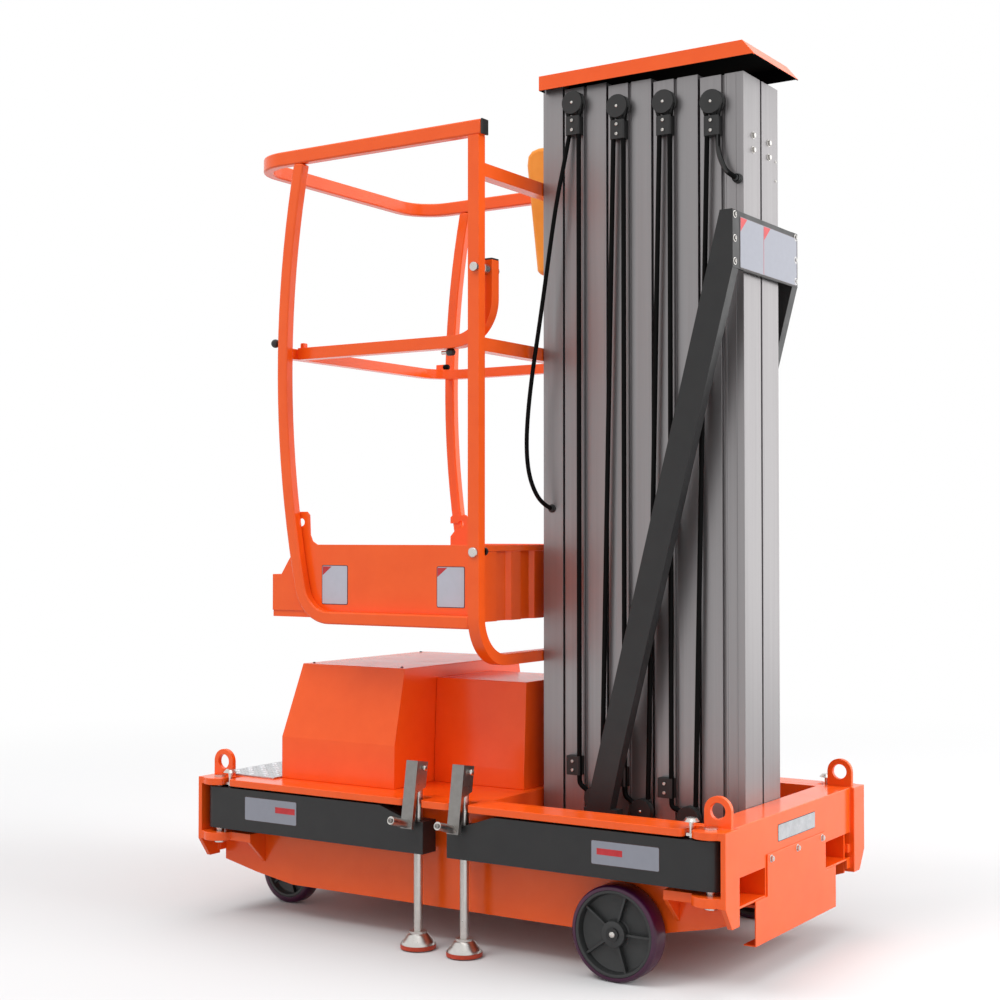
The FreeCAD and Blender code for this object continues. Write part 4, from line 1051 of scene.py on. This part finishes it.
def label(name, node, centre, across, size, patches, finishes):
    """A thin blank label: its edge, its field, and its patches in a third finish."""
    width, height = size
    form = bmesh.new()
    field = rounded_outline(width - 2 * EDGE_MM, height - 2 * EDGE_MM, 3)
    flat_shape(form, rounded_outline(width, height, 4), centre, across, *SHEET_MM, 0)
    flat_shape(form, field, centre, across, *FIELD_MM, 1)
    for outline in patches:
        flat_shape(form, outline, centre, across, *PATCH_MM, 2)
    piece = finished_piece(name, form, finishes[0], node)
    for finish in finishes[1:]:
        piece.data.materials.append(finish)
    print(name, width, "by", height, "mm")


def corner_patch(left, top, width, height):
    """A right-angled corner flash."""
    return [(left, top), (left, top - height), (left + width, top)]


def stripe_patch(left, top, width, height):
    """A plain bar."""
    return [(left, top), (left, top - height), (left + width, top - height), (left + width, top)]


# The basket's labels take the paler copy as painted light. The arms and the tie plate take the darker copy as
# painted shade.
LABELS_LIT = (vinyl_dark, vinyl_painted_light, vinyl_red)
LABELS_SHADED = (vinyl_dark, vinyl_painted_shade, vinyl_red)
toe_corner = corner_patch(-36, 43, 27, 21)
label("toe_label_left", "toe_boards", (-0.3165, -0.3355, 0.808), ALONG_X, (77, 92), [toe_corner], LABELS_LIT)
label("toe_label_right", "toe_boards", (0.014, -0.3355, 0.808), ALONG_X, (76, 92), [toe_corner], LABELS_LIT)
label("arm_label_front", "outrigger_front_near", (-0.476, -0.377, 0.2715), ALONG_X, (162, 57),
      [stripe_patch(15, 11, 60, 14)], LABELS_SHADED)
label("arm_label_rear", "outrigger_rear_near", (0.477, -0.377, 0.2685), ALONG_X, (160, 51),
      [stripe_patch(-66, 9, 60, 13)], LABELS_SHADED)
label("tie_plate_label", "mast_braces", (0.628, 0.0155, 1.5495), ALONG_Y, (309, 111),
      [corner_patch(-152, 53, 34, 30), corner_patch(-29, 53, 34, 30), stripe_patch(-32, 53, 1.5, 106)], LABELS_SHADED)
label("nameplate", "end_channel", (0.693, 0.002, 0.2933), ALONG_Y, (204, 36.5), [],
      (vinyl_dark, tread_plate, vinyl_red))

# %% [markdown]
# Latches of the basket and its control panel
#
# A sprung pin with a ball knob holds the lift-up bar at the near bow, and a stop with a rubber tip stands on
# the middle rail. The control box has a dark panel with a red stop button and two push buttons. All of
# them are turned shapes but for the panel and two small blocks.

# %% Fit the latches
BALL_STEPS = 8


def ball(radius, height):
    """Profile of a ball whose middle is at height."""
    angles = [math.pi * step / BALL_STEPS for step in range(BALL_STEPS + 1)]
    return [(radius * math.sin(a) if 0 < step < BALL_STEPS else 0, height + radius * math.cos(a))
            for step, a in enumerate(angles)]


LEFT = (-1, 0, 0)
LATCH = [(-0.4744, -0.348, 1.384)]
PLUNGER = [(-0.019, -0.300, 1.338)]
fasteners("latch_pin", [(0, 9), (3, 9), (3, -2)], LATCH, LEFT, zinc_plate, "front_bows")
fasteners("latch_knob", ball(10.5, 16), LATCH, LEFT, nylon_black, "front_bows")
fasteners("gate_plunger", [(0, 16), (4.5, 16), (4.5, -1)], PLUNGER, LEFT, zinc_plate, "swing_gate")
fasteners("gate_plunger_grip", [(0, 17.5), (6, 17), (7.8, 15), (8.2, 12), (8.2, 1), (7.4, 0), (0, 0)],
          PLUNGER, RIGHT, nylon_black, "swing_gate")

gate_nub = bmesh.new()
block(gate_nub, (-0.4475, -0.308, 1.373), (-0.4365, -0.292, 1.3865))
softened(finished_piece("gate_nub", gate_nub, powder_orange, "swing_gate"), 2.5, 3)
stop_block = bmesh.new()
block(stop_block, (-0.460, 0.274, 1.370), (-0.436, 0.288, 1.3865))
softened(finished_piece("rail_stop", stop_block, powder_orange, "mid_rail"), 2.0)
fasteners("rail_stop_tip", [(0, 14), (5.5, 13.6), (7, 11.5), (7.4, 8), (7.4, -1)],
          [(-0.436, 0.281, 1.3795)], RIGHT, rubber_black, "mid_rail")

# %% Bolt the posts and plug the drain hole
POST_BOLT = [(0, 7), (7, 6.6), (10.2, 5.2), (11.6, 3), (12, 0), (12, -0.5)]
POST_NUT = [(0, 9), (6, 9), (9, 7.5), (9.6, 5), (9.6, -1)]
FAR = (0, 1, 0)
fasteners("post_bolt", POST_BOLT, [(0.091, -0.3605, 0.886)], NEAR, zinc_plate, "basket_hoop")
fasteners("post_bolt_far", POST_BOLT, [(0.091, 0.3605, 0.886)], FAR, zinc_plate, "basket_hoop")
fasteners("post_nut", POST_NUT, [(0.101, -0.3355, 0.888)], FAR, nylon_black, "basket_hoop")
fasteners("drain_plug", [(0, 0.4), (3.2, 0.4), (3.6, -0.5)], [(-0.010, -0.304, 0.2085)], NEAR, nylon_black,
          "skirt_near")

# %% Fit the control panel
PANEL_SIZE = (88, 190, 9)
PANEL_MM = (-1, 3)
panel = bmesh.new()
flat_shape(panel, rounded_outline(*PANEL_SIZE), (-0.016, 0.215, 1.762), ALONG_X, *PANEL_MM)
softened(finished_piece("control_panel", panel, nylon_black, "control_box"), 0.8)
STOP_COLLAR = [(0, 9), (20, 9), (23, 7), (23, 2.5)]
STOP_BUTTON = [(0, 30), (10, 29.5), (17, 27), (20, 22.5), (19, 18), (11, 15), (10, 8)]
PUSH_BUTTON = [(0, 9.5), (6.5, 9.2), (8, 8), (8.2, 5), (11, 4.6), (11.5, 2.5)]
STOP_PLACE = [(-0.012, 0.215, 1.815)]
fasteners("stop_collar", STOP_COLLAR, STOP_PLACE, NEAR, abs_yellow, "control_box")
fasteners("stop_button", STOP_BUTTON, STOP_PLACE, NEAR, abs_red, "control_box")
fasteners("push_buttons", PUSH_BUTTON, [(-0.034, 0.215, 1.745), (0.008, 0.215, 1.745)], NEAR, nylon_grey,
          "control_box")
fasteners("panel_screws", PAN_SCREW, [(x, 0.212, z) for x in (-0.052, 0.020) for z in (1.675, 1.849)], NEAR,
          zinc_plate, "control_box")

# %% [markdown]
# The step's tread plate
#
# Tread plate is rolled with raised lozenges that cross each other, so that a boot grips from any side. They
# are a millimetre or two high and catch the light as bright flecks. A bump in the finish would show them
# only from above, so each is a low eight-sided hump: a ring at its foot, sunk a little into the plate, and
# a smaller one at its top, as shares of the outline and heights in millimetres. All of them are one mesh.

# %% Roll the tread
LOZENGE = [(12, 0), (7, 2.6), (0, 3.4), (-7, 2.6), (-12, 0), (-7, -2.6), (0, -3.4), (7, -2.6)]
LOZENGE_RINGS = ((1, -0.2), (0.62, 1.5))
PITCH = 23
step_low, step_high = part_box("step_plate")
across_count = int((step_high[0] - step_low[0]) / MM // PITCH)
along_count = int((step_high[1] - step_low[1]) / MM // PITCH)
tread = bmesh.new()
for i in range(across_count):
    for j in range(along_count):
        turn = math.radians(45 if (i + j) % 2 else -45)
        middle_x = (step_low[0] + step_high[0]) / 2 + (i - (across_count - 1) / 2) * PITCH * MM
        middle_y = (j - (along_count - 1) / 2) * PITCH * MM
        rings = []
        for share, height in LOZENGE_RINGS:
            rings.append([tread.verts.new((
                middle_x + share * MM * (u * math.cos(turn) - v * math.sin(turn)),
                middle_y + share * MM * (u * math.sin(turn) + v * math.cos(turn)),
                step_high[2] + height * MM)) for u, v in LOZENGE])
        tread.faces.new(rings[1])
        for k in range(len(LOZENGE)):
            m = (k + 1) % len(LOZENGE)
            tread.faces.new([rings[0][k], rings[0][m], rings[1][m], rings[1][k]])
print("lozenges", across_count * along_count)
finished_piece("step_tread", tread, tread_plate, "step_plate")
